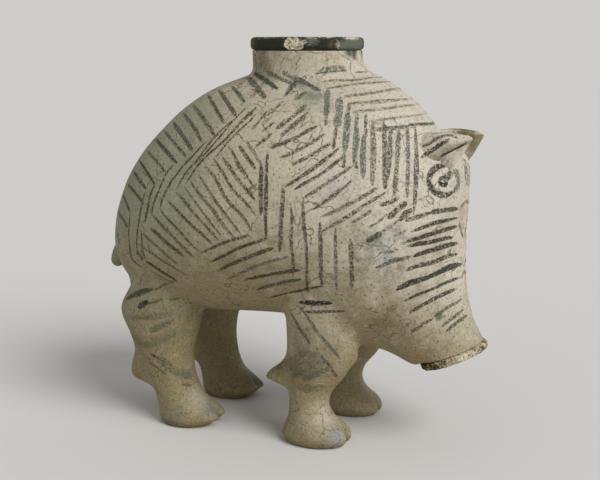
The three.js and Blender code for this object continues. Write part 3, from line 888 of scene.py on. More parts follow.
# Painted strokes. A field is a row of nearly straight strokes, each from a place in the image to
# another. Widths are in millimetres, bow is the sideways bulge as a share of the length, strength
# is how much paint is left and blue how far its colour goes from black to blue. "on" names the
# surfaces that a field's strokes may lie on. The far side gets the same strokes, mirrored.
strokeFields = {
    "backBristles": {
        "on": ["body", "collar"], "width": 1.5, "strength": 0.76, "bow": -0.01, "blue": 0.15,
        "from": [(232, 86), (219, 90), (208, 95), (193, 104), (184, 113), (173, 122), (164, 131),
                 (156, 139), (147.5, 151), (140, 161), (134, 171), (128, 184), (123, 195),
                 (119.5, 212.5), (117.5, 235)],
        "to": [(246, 103), (237, 117), (224, 124), (216, 137), (203, 142), (193, 151),
               (187, 157), (177, 164), (166, 173), (156, 185), (146, 190), (144, 204), (130, 212),
               (128, 227), (119.5, 245)],
    },
    "bristleBold": {
        "on": ["body", "collar"], "width": 2.0, "strength": 0.9, "bow": -0.02, "blue": 0.4,
        "from": [(248.5, 77.5), (254, 73)],
        "to": [(266, 99), (279, 90)],
    },
    "flank": {
        "on": ["body"], "width": 1.25, "strength": 0.58, "bow": 0.01, "blue": 0.0,
        "from": [(247, 140), (239, 145), (229, 146), (222, 157), (213, 158), (205, 166), (198, 174),
                 (191, 181), (184, 186), (176, 192), (168, 200), (160, 209), (153, 215), (143, 233),
                 (143, 247)],
        "to": [(264, 166), (256, 169), (252, 185), (256, 201), (256, 216), (252, 231), (242, 235),
               (236, 239), (222, 236), (219, 241), (212, 244), (200, 251), (195, 258), (179, 265),
               (190, 277)],
    },
    "flankBold": {
        "on": ["body", "rearLeg"], "width": 1.5, "strength": 0.84, "bow": 0.01, "blue": 0.0,
        "from": [(151, 228), (136, 251), (146, 261)],
        "to": [(184, 257), (143, 259), (177, 281)],
    },
    "belowCentre": {
        "on": ["body"], "width": 1.5, "strength": 0.72, "bow": -0.02, "blue": 0.05,
        "from": [(201, 253), (210, 262), (217, 271), (227, 279), (244, 280), (256, 289), (268, 298)],
        "to": [(252, 234), (269, 238), (275, 247), (291, 256), (302, 270), (302, 278), (323, 286)],
    },
    "fan": {
        "on": ["body", "collar"], "width": 1.2, "strength": 0.58, "bow": 0.02, "blue": 0.1,
        "from": [(241, 124), (252, 129), (268, 115), (262, 132), (256, 146)],
        "to": [(257, 107), (268, 111), (284, 101), (274, 122), (273, 133)],
    },
    "fanBold": {
        "on": ["body", "collar"], "width": 1.9, "strength": 0.74, "bow": 0.02, "blue": 0.1,
        "from": [(276, 129), (280, 136)],
        "to": [(306, 105), (309, 113)],
    },
    "aboveCentre": {
        "on": ["body"], "width": 1.35, "strength": 0.64, "bow": 0.025, "blue": 0.05,
        "from": [(270, 149), (281, 158), (292, 166), (285, 187), (294, 190), (303, 199), (313, 209),
                 (320, 217), (322, 232), (360, 207), (380, 206)],
        "to": [(318, 126), (326, 133), (332, 142), (341, 147), (347, 155), (354, 165), (352, 180),
               (380, 186), (372, 200), (386, 192), (400, 197)],
    },
    "centreUprights": {
        "on": ["body"], "width": 1.45, "strength": 0.62, "bow": 0.0, "blue": 0.05,
        "from": [(262, 163), (268, 152), (284, 184), (291, 204), (304, 200), (320, 220), (336, 228),
                 (350, 240)],
        "to": [(261, 215), (266, 238), (279, 252), (293, 277), (309, 297), (322, 287), (337, 290),
               (352, 287)],
    },
    "brow": {
        "on": ["body", "collar"], "width": 1.25, "strength": 0.54, "bow": -0.002, "blue": 0.0,
        "from": [(355, 72.5), (323, 82), (327, 89), (343, 97), (348, 104), (352, 112), (367, 122)],
        "to": [(367, 71), (380, 77.8), (388, 81), (398.5, 88.8), (409, 99), (415, 105), (424, 113.4)],
    },
    "browBold": {
        "on": ["body"], "width": 1.5, "strength": 0.72, "bow": -0.01, "blue": 0.15,
        "from": [(372, 130), (408, 125)],
        "to": [(410, 126), (434, 124)],
    },
    "neckUprights": {
        "on": ["body"], "width": 1.75, "strength": 0.68, "bow": -0.005, "blue": 0.3,
        "from": [(373, 122), (383, 122), (391, 126), (399, 128), (407, 126), (415, 127)],
        "to": [(373, 185), (385, 190), (386, 189), (395, 196), (407, 197), (414, 213)],
    },
    "neckTeal": {
        "on": ["body", "collar"], "width": 2.1, "strength": 0.66, "bow": -0.01, "blue": 0.95,
        "from": [(328, 90), (340, 97), (348, 110), (357, 118), (364, 135)],
        "to": [(327, 117), (337, 128), (345, 153), (354, 161), (363, 179)],
    },
    "neckTails": {
        "on": ["body"], "width": 1.3, "strength": 0.58, "bow": 0.0, "blue": 0.1,
        "from": [(327, 115), (337, 127), (350, 103), (357, 110), (366, 114), (345, 152), (354, 158)],
        "to": [(326, 126), (333, 150), (348, 112), (357, 120), (365, 138), (343, 168), (357, 168)],
    },
    "shoulderBold": {
        "on": ["body"], "width": 2.0, "strength": 0.8, "bow": 0.0, "blue": 0.3,
        "from": [(388, 218), (399, 220), (366, 241)],
        "to": [(406, 202), (412, 209), (381, 232)],
    },
    "shoulder": {
        "on": ["body"], "width": 1.1, "strength": 0.5, "bow": 0.02, "blue": 0.3,
        "from": [(382, 232), (394, 235), (384, 253), (400, 244), (352, 222), (368, 228)],
        "to": [(400, 219), (407, 230), (398, 249), (410, 241), (372, 210), (388, 213)],
    },
    "cheek": {
        "on": ["body"], "width": 1.6, "strength": 0.74, "bow": -0.02, "blue": 0.15,
        "from": [(405, 221), (404, 243), (408, 246), (376, 268), (406, 271), (404, 300), (409, 313)],
        "to": [(431, 213), (458, 226), (453, 237), (412, 256), (458.5, 254.5), (461, 278), (456, 289)],
    },
    "cheekBold": {
        "on": ["body"], "width": 1.9, "strength": 0.86, "bow": -0.02, "blue": 0.1,
        "from": [(430, 213.5), (411, 232), (413, 256), (396, 290)],
        "to": [(458, 208.5), (458, 217.5), (458, 243.5), (461.5, 264)],
    },
    "jaw": {
        "on": ["body"], "width": 1.35, "strength": 0.6, "bow": -0.01, "blue": 0.15,
        "from": [(420, 325), (434, 317), (411, 332), (441, 327), (446, 332)],
        "to": [(432, 319), (462, 299), (424, 325), (464, 309), (468, 315)],
    },
    "faceEdge": {
        "on": ["body"], "width": 1.2, "strength": 0.58, "bow": 0.02, "blue": 0.6,
        "from": [(462.5, 160), (464.5, 168), (461, 207), (459, 222), (461, 278)],
        "to": [(467, 174), (467, 184), (465.5, 200), (463, 238), (464, 271)],
    },
    "neckBase": {
        "on": ["body", "collar"], "width": 1.6, "strength": 0.68, "bow": 0.03, "blue": 0.3,
        "from": [(267, 71), (283, 71), (297, 78), (295, 99), (299, 79)],
        "to": [(296, 84), (298, 79), (321, 91), (306, 91), (286, 96)],
    },
    "rearThigh": {
        "on": ["body", "rearLeg"], "width": 1.2, "strength": 0.56, "bow": -0.02, "blue": 0.1,
        "from": [(154, 290), (149, 304), (168, 300), (166, 327), (150, 353), (149, 361), (183, 384)],
        "to": [(175, 281), (163, 300), (181, 298), (172, 320), (167, 364), (166, 374), (192, 386)],
    },
    "rearWashes": {
        "on": ["body", "rearLeg"], "width": 2.6, "strength": 0.38, "bow": -0.02, "blue": 0.4,
        "from": [(133, 318), (150, 332), (145, 346), (158, 359), (165, 368), (180, 372)],
        "to": [(172, 314), (171, 321), (177, 332), (173, 367), (182, 374), (191, 377)],
    },
    "rearBold": {
        "on": ["body", "rearLeg"], "width": 2.0, "strength": 0.92, "bow": -0.04, "blue": 0.05,
        "from": [(126, 299), (138, 308)],
        "to": [(153, 289), (149, 302)],
    },
    "frontThigh": {
        "on": ["body", "frontLeg"], "width": 1.4, "strength": 0.66, "bow": 0.0, "blue": 0.15,
        "from": [(301, 311), (291, 312), (300, 307), (318, 352)],
        "to": [(347, 310.5), (310, 344), (341, 359), (338, 378)],
    },
    "frontWashes": {
        "on": ["frontLeg"], "width": 2.7, "strength": 0.38, "bow": 0.0, "blue": 0.4,
        "from": [(276, 369), (283, 373), (291, 377), (303, 379), (298, 387)],
        "to": [(312, 348), (321, 351), (327, 359), (331, 367), (326, 387)],
    },
    "frontBold": {
        "on": ["body", "frontLeg"], "width": 1.7, "strength": 0.88, "bow": 0.0, "blue": 0.15,
        "from": [(299, 302)],
        "to": [(333, 303)],
    },
}

# Single lines, each a curve through places in the image
strokeLines = {
    "longOuter": {
        "on": ["body"], "width": 0.85, "strength": 0.7, "blue": 0.0,
        "through": [(247, 107), (237, 117), (228, 127), (220, 137), (212, 146), (204, 155),
                    (197, 163)],
    },
    "longSecond": {
        "on": ["body"], "width": 0.95, "strength": 0.74, "blue": 0.0,
        "through": [(250, 111), (243, 120), (235, 129), (226, 139), (217, 147), (209, 154),
                    (202, 161), (196, 168), (191, 176), (186, 184)],
    },
    "longThird": {
        "on": ["body"], "width": 0.8, "strength": 0.7, "blue": 0.0,
        "through": [(257, 113), (249, 122), (240, 130), (232, 138), (224, 147), (216, 157)],
    },
    "longFourth": {
        "on": ["body"], "width": 0.85, "strength": 0.7, "blue": 0.0,
        "through": [(237, 117), (224, 128), (214, 138), (207, 147), (200, 157), (192, 166),
                    (186, 173), (181, 181), (177, 190)],
    },
    "longFifth": {
        "on": ["body"], "width": 0.9, "strength": 0.76, "blue": 0.0,
        "through": [(208, 140), (200, 148), (191, 158), (183, 166), (177, 174), (171, 182),
                    (166, 192), (162, 201), (160, 209)],
    },
    "longSixth": {
        "on": ["body"], "width": 0.85, "strength": 0.74, "blue": 0.0,
        "through": [(175, 164), (169, 170), (164, 178), (160, 188), (157, 196), (153, 206),
                    (152, 215)],
    },
    "rumpBold": {
        "on": ["body"], "width": 1.15, "strength": 0.74, "blue": 0.0,
        "through": [(155, 185), (151, 194), (149, 203), (147, 212), (145, 223)],
    },
    "rumpSecond": {
        "on": ["body"], "width": 0.85, "strength": 0.78, "blue": 0.0,
        "through": [(146, 190), (143, 200), (141, 210), (139, 222), (137, 236), (137, 251)],
    },
    "rumpThird": {
        "on": ["body"], "width": 0.85, "strength": 0.8, "blue": 0.0,
        "through": [(130, 213), (129.5, 224), (129, 235), (130, 247), (131, 256), (135, 262),
                    (143, 268)],
    },
    "rumpInner": {
        "on": ["body"], "width": 0.75, "strength": 0.7, "blue": 0.0,
        "through": [(142, 230), (142, 240), (143, 250), (145, 259)],
    },
    "rumpFoot": {
        "on": ["body", "rearLeg"], "width": 0.7, "strength": 0.66, "blue": 0.0,
        "through": [(150, 270), (160, 276), (170, 281), (176, 281)],
    },
    "crescent": {
        "on": ["body", "collar"], "width": 1.9, "strength": 0.6, "blue": 0.8,
        "through": [(318, 71.5), (326, 69), (334, 67.6), (341, 67.6), (346, 69)],
    },
    "crescentFoot": {
        "on": ["body", "collar"], "width": 0.75, "strength": 0.74, "blue": 0.4,
        "through": [(315, 73.5), (323, 72.5), (332, 71.5), (340, 71), (347, 71)],
    },
    "earLower": {
        "on": ["body", "ear"], "width": 1.45, "strength": 0.8, "blue": 0.0,
        "through": [(421, 158), (426, 154), (432, 150.5), (438, 146), (444, 142), (450, 139)],
    },
    "earUpper": {
        "on": ["body", "ear"], "width": 1.3, "strength": 0.68, "blue": 0.1,
        "through": [(422, 147), (430, 143), (438, 138), (444, 136), (451, 135.5), (458, 138)],
    },
    "earTop": {
        "on": ["body", "ear"], "width": 0.75, "strength": 0.58, "blue": 0.0,
        "through": [(432, 134.5), (440, 133), (448, 132), (456, 132.5)],
    },
    "earEdge": {
        "on": ["ear"], "width": 0.9, "strength": 0.88, "blue": 0.0,
        "through": [(440, 156.5), (445, 154), (450, 151.5), (456, 148.5), (462, 145.3), (467, 142)],
    },
    "pupilTeal": {
        "on": ["body"], "width": 2.7, "strength": 0.8, "blue": 0.6,
        "through": [(443, 181), (448, 176), (452.5, 172.5)],
    },
    "pupilTop": {
        "on": ["body"], "width": 1.3, "strength": 0.9, "blue": 0.2,
        "through": [(438.5, 180), (442, 178), (446, 177.5), (450, 178)],
    },
    "pupilDark": {
        "on": ["body"], "width": 1.5, "strength": 0.98, "blue": 0.0,
        "through": [(438.5, 180.5), (440.5, 183.5), (444, 185), (448, 182.5)],
    },
}

# The ring around the eye, in two arcs: angles are in degrees, upwards from the snout's side
eyeRing = {"centre": (443.8, 180.3), "radius": 14.6, "swell": 0.06}
eyeArcs = {
    "eyeRing": {"width": 2.2, "strength": 0.84, "blue": 0.05, "start": 74.0, "end": 312.0},
    "eyeFront": {"width": 2.6, "strength": 0.66, "blue": 0.8, "start": -52.0, "end": 50.0},
}
brush = {
    "seed": 7,
    "pathPoints": 30,
    "lift": 0.05,            # millimetres above the clay, and more for each layer
    "layerLift": 0.012,
    "layers": 6,
    "sunk": 0.12,
    "undersideShare": 0.97,
    "bluntness": 5,          # the power with which a stroke narrows at its ends
    "endWidth": 0.05,
    "endJitter": 0.4,        # pixels
    "bowJitter": 0.008,
    "waver": 0.006,
    "wavers": 1.5,
    "widthJitter": 0.12,
    "swell": 0.1,
    "swellTurn": 9.0,
    "narrowest": 0.45,
    "strengthJitter": 0.07,
    "blueJitter": 0.15,
    "missPenalty": 100.0,    # millimetres that a surface counts as farther for each pixel missed
}
surfaces = {"body": skin, "collar": collar, "frontLeg": legSurfaces["front"],
            "rearLeg": legSurfaces["rear"], "ear": earSurface}
brushProfile = np.array([-1.0, -0.72, -0.3, 0.3, 0.72, 1.0])    # across a stroke's top


# The paths of one field, in pixels: (stroke, place along it, 2)
def fieldPaths(field, draws):
    count = len(field["from"])
    start, end = (np.array(field[name], float) + draws.normal(0, brush["endJitter"], (count, 2))
                  for name in ("from", "to"))
    t = np.linspace(0, 1, brush["pathPoints"])[None, :, None]
    sideways = np.stack([-(end - start)[:, 1], (end - start)[:, 0]], -1)[:, None]
    bulge = field["bow"] + draws.normal(0, brush["bowJitter"], (count, 1, 1))
    turn = 2 * math.pi * t * brush["wavers"]
    wave = draws.normal(0, brush["waver"], (count, 1, 1)) * np.sin(turn)
    return blend(start[:, None], end[:, None], t) + sideways * (bulge * 4 * t * (1 - t) + wave)


# Strokes as thin closed ribbons on a surface. Each path point gets a cross-section whose top lies
# just above the clay and whose lower corners lie under it, and its width swells and ends bluntly.
def ribbonRings(surface, u, v, widths, lifts, side):
    shape = surface["shape"]
    points = shape(u, v, side)
    forwards = unit(np.gradient(points, axis=1))
    outwards = outwardsOf(surface, u, v, side)
    across = unit(np.cross(outwards, forwards))
    perU, perV = perMillimetre(surface, u, v, across, side)
    t = np.linspace(0, 1, u.shape[1])
    blunt = np.sqrt(np.maximum(brush["endWidth"], 1 - np.abs(2 * t - 1) ** brush["bluntness"]))
    half = widths / 2 * blunt
    top = half[..., None] * brushProfile
    low = half[..., None] * np.array([1, -1]) * brush["undersideShare"]
    offsets = np.concatenate([top, low], -1)
    raised = np.broadcast_to(lifts[:, None, None], top.shape)
    heights = np.concatenate([raised, np.full(low.shape, -brush["sunk"])], -1)
    atU = u[..., None] + perU[..., None] * offsets
    atV = v[..., None] + perV[..., None] * offsets
    base = shape(atU, atV, side)
    return base + outwards[:, :, None] * heights[..., None]


# Gathers ribbons into one mesh, with each point's place along and across its stroke
class Ribbons:
    def __init__(self):
        self.points, self.faces, self.values, self.flat = [], [], [], []
        self.count = 0

    def add(self, rings, strength, blue):
        strokes, steps, sides = rings.shape[:3]
        stroke, step, place = np.meshgrid(np.arange(strokes), np.arange(steps - 1),
                                          np.arange(sides), indexing="ij")
        nextPlace = (place + 1) % sides
        corner = lambda s, k, p: self.count + (s * steps + k) * sides + p
        quads = np.stack([corner(stroke, step, place), corner(stroke, step, nextPlace),
                          corner(stroke, step + 1, nextPlace), corner(stroke, step + 1, place)], -1)
        order = np.arange(sides)
        starts = corner(np.arange(strokes)[:, None], 0, order[::-1][None])
        ends = corner(np.arange(strokes)[:, None], steps - 1, order[None])
        a, b, c, d = (rings[:, :-1].reshape(-1, 3), np.roll(rings, -1, 2)[:, :-1].reshape(-1, 3),
                      np.roll(rings, -1, 2)[:, 1:].reshape(-1, 3), rings[:, 1:].reshape(-1, 3))
        middle = rings.mean((0, 1, 2))
        a, b, c, d = a - middle, b - middle, c - middle, d - middle
        outwards = (a * np.cross(b, c)).sum() + (a * np.cross(c, d)).sum() > 0
        made = quads.reshape(-1, 4).tolist() + starts.tolist() + ends.tolist()
        self.faces += made if outwards else [face[::-1] for face in made]
        isTop = (place < len(brushProfile) - 1).ravel()
        self.flat += (~isTop).tolist() + [True] * (2 * strokes)
        across = np.concatenate([brushProfile, [1.0, -1.0]])
        self.values.append(np.stack([
            np.broadcast_to(np.linspace(0, 1, steps)[None, :, None], rings.shape[:3]),
            np.broadcast_to(across, rings.shape[:3]),
            np.broadcast_to(strength[:, None, None], rings.shape[:3]),
            np.broadcast_to(blue[:, None, None], rings.shape[:3])], -1).reshape(-1, 4))
        self.points.append(rings.reshape(-1, 3))
        self.count += strokes * steps * sides

    def mesh(self, name):
        mesh = bpy.data.meshes.new(name)
        mesh.from_pydata((np.vstack(self.points) * metresPerMm).tolist(), [], self.faces)
        mesh.polygons.foreach_set("use_smooth", np.ones(len(self.faces), bool))
        edges = mesh.attributes.new("sharp_face", "BOOLEAN", "FACE")
        edges.data.foreach_set("value", np.array(self.flat))
        values = np.vstack(self.values)
        for k, layer in enumerate(("along", "across", "strength", "blue")):
            storeValues(mesh, layer, values[:, k])
        mesh.update()
        return mesh


# All the strokes, as one mesh's ribbons for each side
def paintStrokes():
    draws = np.random.default_rng(brush["seed"])
    ribbons = {nearSide: Ribbons(), farSide: Ribbons()}

    # Lays strokes on the named surfaces: each place goes on the nearest one that is found there
    def lay(name, on, paths, widths, strength, blue, layer):
        layers = (layer + np.arange(len(paths)) % 2) % brush["layers"]
        lifts = brush["lift"] + brush["layerLift"] * layers
        nearest, rings = np.full(paths.shape[:2], np.inf), {}
        for surface in (surfaces[each] for each in on):
            u, v = findOn(surface, paths, inImage, facesCamera)
            points = surface["shape"](u, v, nearSide)
            missed = np.linalg.norm(inImage(points) - paths, axis=-1)
            away = np.linalg.norm(points - np.array(camera["place"]), axis=-1)
            away = away + brush["missPenalty"] * missed
            for side in (nearSide, farSide):
                here = ribbonRings(surface, u, v, widths, lifts, side)
                nearer = (away < nearest)[..., None, None]
                rings[side] = np.where(nearer, here, rings.get(side, here))
            nearest = np.minimum(nearest, away)
        for side in (nearSide, farSide):
            ribbons[side].add(rings[side], strength, blue)
        off = np.linalg.norm(inImage(rings[nearSide].mean(2)) - paths, axis=-1).max()
        print(f"  {name}: {len(paths)} strokes, within {off:.1f} pixels")

    for layer, (name, field) in enumerate(strokeFields.items()):
        count = len(field["from"])
        paths = fieldPaths(field, draws)
        widths = field["width"] * (1 + draws.normal(0, brush["widthJitter"], (count, 1)))
        turn = np.linspace(0, brush["swellTurn"], brush["pathPoints"])
        wave = draws.normal(0, brush["swell"], (count, 1)) * np.sin(turn)
        widths = np.clip(widths * (1 + wave), brush["narrowest"], None)
        strength = field["strength"] + draws.normal(0, brush["strengthJitter"], count)
        blue = np.clip(field["blue"] + draws.normal(0, brush["blueJitter"], count), 0, 1)
        lay(name, field["on"], paths, widths, strength, blue, layer)
    for layer, (name, line) in enumerate(strokeLines.items()):
        t = np.linspace(0, len(line["through"]) - 1, 2 * brush["pathPoints"])
        paths = along(line["through"], t)[None]
        widths = np.full(paths.shape[:2], line["width"])
        lay(name, line["on"], paths, widths, np.array([line["strength"]]),
            np.array([line["blue"]]), layer + 2)
    for layer, (name, arc) in enumerate(eyeArcs.items()):
        turn = np.radians(np.linspace(arc["start"], arc["end"], 3 * brush["pathPoints"]))
        circle = np.stack([np.cos(turn), -np.sin(turn)], -1) * eyeRing["radius"] + eyeRing["centre"]
        widths = arc["width"] * (1 + eyeRing["swell"] * np.sin(3 * turn + 1))[None]
        lay(name, ["body", "ear"], circle[None], widths, np.array([arc["strength"]]),
            np.array([arc["blue"]]), layer + 3)
    return ribbons


# One socket of a material's nodes. Sums on it add Math nodes.
class Wire:
    def __init__(self, tree, socket=None):
        self.tree = tree
        self.socket = socket

    # Adds a node: its settings first, then its sockets' values or links, and gives one of its
    # outputs, or none for a material's own output
    def node(self, kind, settings=None, sockets=None, output=0):
        made = self.tree.nodes.new(kind)
        for name, value in (settings or {}).items():
            setattr(made, name, value)
        for name, value in (sockets or {}).items():
            if isinstance(value, Wire):
                self.tree.links.new(value.socket, made.inputs[name])
            else:
                made.inputs[name].default_value = value
        return None if output is None else Wire(self.tree, made.outputs[output])

    def maths(self, operation, *values):
        return self.node("ShaderNodeMath", {"operation": operation}, dict(enumerate(values)))

    def __add__(self, other):
        return self.maths("ADD", self, other)

    __radd__ = __add__

    def __mul__(self, other):
        return self.maths("MULTIPLY", self, other)

    __rmul__ = __mul__

    def __sub__(self, other):
        return self.maths("SUBTRACT", self, other)

    def __rsub__(self, other):
        return self.maths("SUBTRACT", other, self)

    def limited(self):
        return self.maths("MINIMUM", self.maths("MAXIMUM", self, 0.0), 1.0)

    # 0 below low, 1 above high, and an even S-curve between them
    def rising(self, low, high):
        return self.node("ShaderNodeMapRange", {"interpolation_type": "SMOOTHSTEP"},
                         {"Value": self, "From Min": low, "From Max": high})

    # This colour turned towards another by a mask; 6, 7 and 2 are the Mix node's colour sockets
    def towards(self, other, mask):
        return self.node("ShaderNodeMix", {"data_type": "RGBA"}, {0: mask, 6: self, 7: other}, 2)

    def noise(self, size, detail, roughness):
        return self.node("ShaderNodeTexNoise", {}, {
            "Vector": self, "Scale": 1 / size, "Detail": detail, "Roughness": roughness})

    def colour(self, value):
        made = self.node("ShaderNodeRGB")
        made.socket.default_value = value
        return made

    # A value that the mesh stores at its points
    def stored(self, name):
        return self.node("ShaderNodeAttribute", {"attribute_name": name}, {}, "Fac")


# A colour as written in a paint program, 0 to 255, for a shader
def tint(red, green, blue):
    values = [value / 255 for value in (red, green, blue)]
    linear = [value / 12.92 if value <= 0.04045 else ((value + 0.055) / 1.055) ** 2.4
              for value in values]
    return (*linear, 1.0)


# Colours of clay and paint
clay = {
    # cream, stone and rump: partly the clay's own tones and partly painted light, paler towards the
    # snout's side
    "cream": tint(214, 205, 187),
    "stone": tint(194, 185, 160),
    "rump": tint(154, 154, 128),
    # shaded: painted shade under faces that look down, and partly painted shade down the legs
    "shaded": tint(146, 133, 96),
    "sole": tint(118, 102, 68),
    "umber": tint(96, 82, 56),
    "speck": tint(66, 56, 40),
    "crack": tint(92, 78, 58),
    "inkBlack": tint(20, 20, 12),
    "inkOlive": tint(88, 80, 58),
    "inkBlue": tint(94, 110, 103),
    "rimDark": tint(40, 44, 32),
    "rimGrey": tint(96, 104, 92),
    "rimBrown": tint(100, 78, 46),
    "bareClay": tint(212, 202, 174),
}

# The clay's noises: size in millimetres, detail and roughness
clayNoise = {
    "blotch": (26.0, 3.0, 0.55),
    "mottle": (5.0, 4.0, 0.62),
    "grain": (0.8, 4.0, 0.72),
    "fineGrain": (0.36, 2.0, 0.6),
}

# Where each of the clay's masks starts to rise and where it is full
clayMasks = {
    # stone and cream: the clay pales towards the snout, partly as painted light
    "stone": (0.05, 0.5),            # from 0 at the rump to 1 at the snout
    "cream": (0.45, 0.95),
    # underside: painted shade on faces that look down
    "underside": (-0.65, 0.15),      # in how far a face looks up
    "aboveFeet": (14.0, 26.0),       # in millimetres of height
    # legs: darker towards the floor, partly stains and partly painted shade
    "legs": (24.0, 68.0),
    "sole": (0.6, 4.2),
    "darkMottle": (0.3, 0.48),
    "paleMottle": (0.56, 0.74),
    "darkGrain": (0.36, 0.52),
    "darkFineGrain": (0.36, 0.5),
    "paleGrain": (0.54, 0.68),
    "speck": (0.1, 0.26),
    "speckPick": (0.4, 0.5),
    "crack": (0.005, 0.024),
    "crackBlotch": (0.42, 0.54),
    "crackMottle": (0.38, 0.52),
}

# How strongly each layer of colour covers what lies under it
clayCover = {
    # underside: how strongly the painted shade covers faces that look down
    "underside": 0.9,
    # legs: how strongly the partly painted shade covers the legs
    "legs": 0.88,
    "sole": 0.8,
    "darkMottle": 0.22,
    "paleMottle": 0.22,
    "darkGrain": 0.36,
    "darkFineGrain": 0.22,
    "paleGrain": 0.25,
    "speck": 0.62,
    "crack": 0.72,
}

# How far the noises move the edges of masks, and how the clay pales from rump to snout, partly its own
# tone and partly painted light on the snout's side
claySway = {
    "paleAtMiddle": 0.42,
    "palePerMm": 0.011,
    "paleBlotch": 0.7,
    "undersideMottle": 0.8,
    "legsBlotch": 24,                # millimetres, and the next two
    "legsMottle": 16,
    "soleMottle": 5,
    "speckGrain": 0.3,
}
clayRoughness = {"least": 0.74, "grain": 0.2}

# How much each layer stands out, or sinks in for the last two
clayHeights = {"mottle": 0.5, "grain": 0.34, "fineGrain": 0.12, "speck": 0.3, "crack": 0.4}

# Specks and cracks follow cells, so many to a millimetre; the cracks' cells are bent by a noise
clayCells = {"speck": 0.62, "crack": 0.085, "bendNoise": 0.16, "bend": 9.0}

# How ragged a patch's edge is, and how far out it fades, as shares of its radius
patchEdge = {"mottle": 2.2, "grain": 2.5, "fade": 1.3}

# Washes of thin paint and stains, and painted light: highlights on the feet and shade under the ears
# and on the neck's side towards the rump. Each has the place in the image, the surface, the radius in
# millimetres, the colour and how strong it is at its middle. Both sides of the boar get them.
stainsAndPaintedLight = [
    ((348, 51.5), "collar", 2.6, tint(74, 82, 70), 1.0),
    ((354, 51.5), "collar", 2.6, tint(74, 82, 70), 1.0),
    # Painted shade under the ear
    ((456, 155), "ear", 4.0, tint(132, 114, 70), 0.9),
    ((420, 360), "body", 4.5, tint(164, 130, 92), 0.5),
    # Olive tint on the neck's side towards the rump, partly the clay's own colour and partly painted
    # shade
    ((260, 60), "collar", 9.0, tint(124, 116, 82), 0.7),
    ((385, 243), "body", 7.0, tint(158, 162, 156), 0.5),
    ((368, 244), "body", 6.0, tint(124, 130, 124), 0.5),
    ((385, 262), "body", 5.0, tint(140, 148, 146), 0.5),
    ((355, 232), "body", 9.0, tint(138, 138, 102), 0.5),
    ((358, 278), "body", 9.0, tint(146, 140, 108), 0.5),
    ((338, 194), "body", 7.0, tint(168, 170, 160), 0.5),
    ((388, 325), "body", 7.0, tint(116, 104, 76), 0.6),
    ((439, 316), "body", 1.8, tint(84, 100, 76), 0.8),
    ((316, 98), "body", 6.0, tint(120, 130, 118), 0.7),
    ((300, 96), "body", 3.4, tint(122, 134, 112), 0.6),
    ((296, 83), "collar", 3.0, tint(92, 108, 96), 0.8),
    ((311, 354), "frontLeg", 8.0, tint(124, 124, 104), 0.7),
    ((300, 372), "frontLeg", 7.0, tint(116, 110, 78), 0.7),
    ((276, 372), "frontLeg", 4.0, tint(124, 112, 56), 0.7),
    ((298, 382), "frontLeg", 1.8, tint(170, 118, 62), 0.8),
    ((330, 383), "frontLeg", 1.8, tint(166, 124, 78), 0.8),
    # Painted highlight on the front foot
    ((325, 418), "frontLeg", 7.0, tint(204, 197, 180), 0.6),
    ((337, 436), "frontLeg", 4.5, tint(150, 156, 156), 0.9),
    ((138, 343), "rearLeg", 5.0, tint(112, 98, 66), 0.7),
    ((138, 377), "rearLeg", 3.0, tint(140, 104, 60), 0.8),
    ((186, 374), "rearLeg", 3.4, tint(104, 106, 94), 0.8),
    # Painted highlight on the rear foot
    ((198, 400), "rearLeg", 6.0, tint(196, 190, 172), 0.6),
    ((212, 410), "rearLeg", 4.0, tint(124, 130, 124), 0.9),
    ((177, 414), "rearLeg", 3.4, tint(124, 126, 112), 0.8),
]


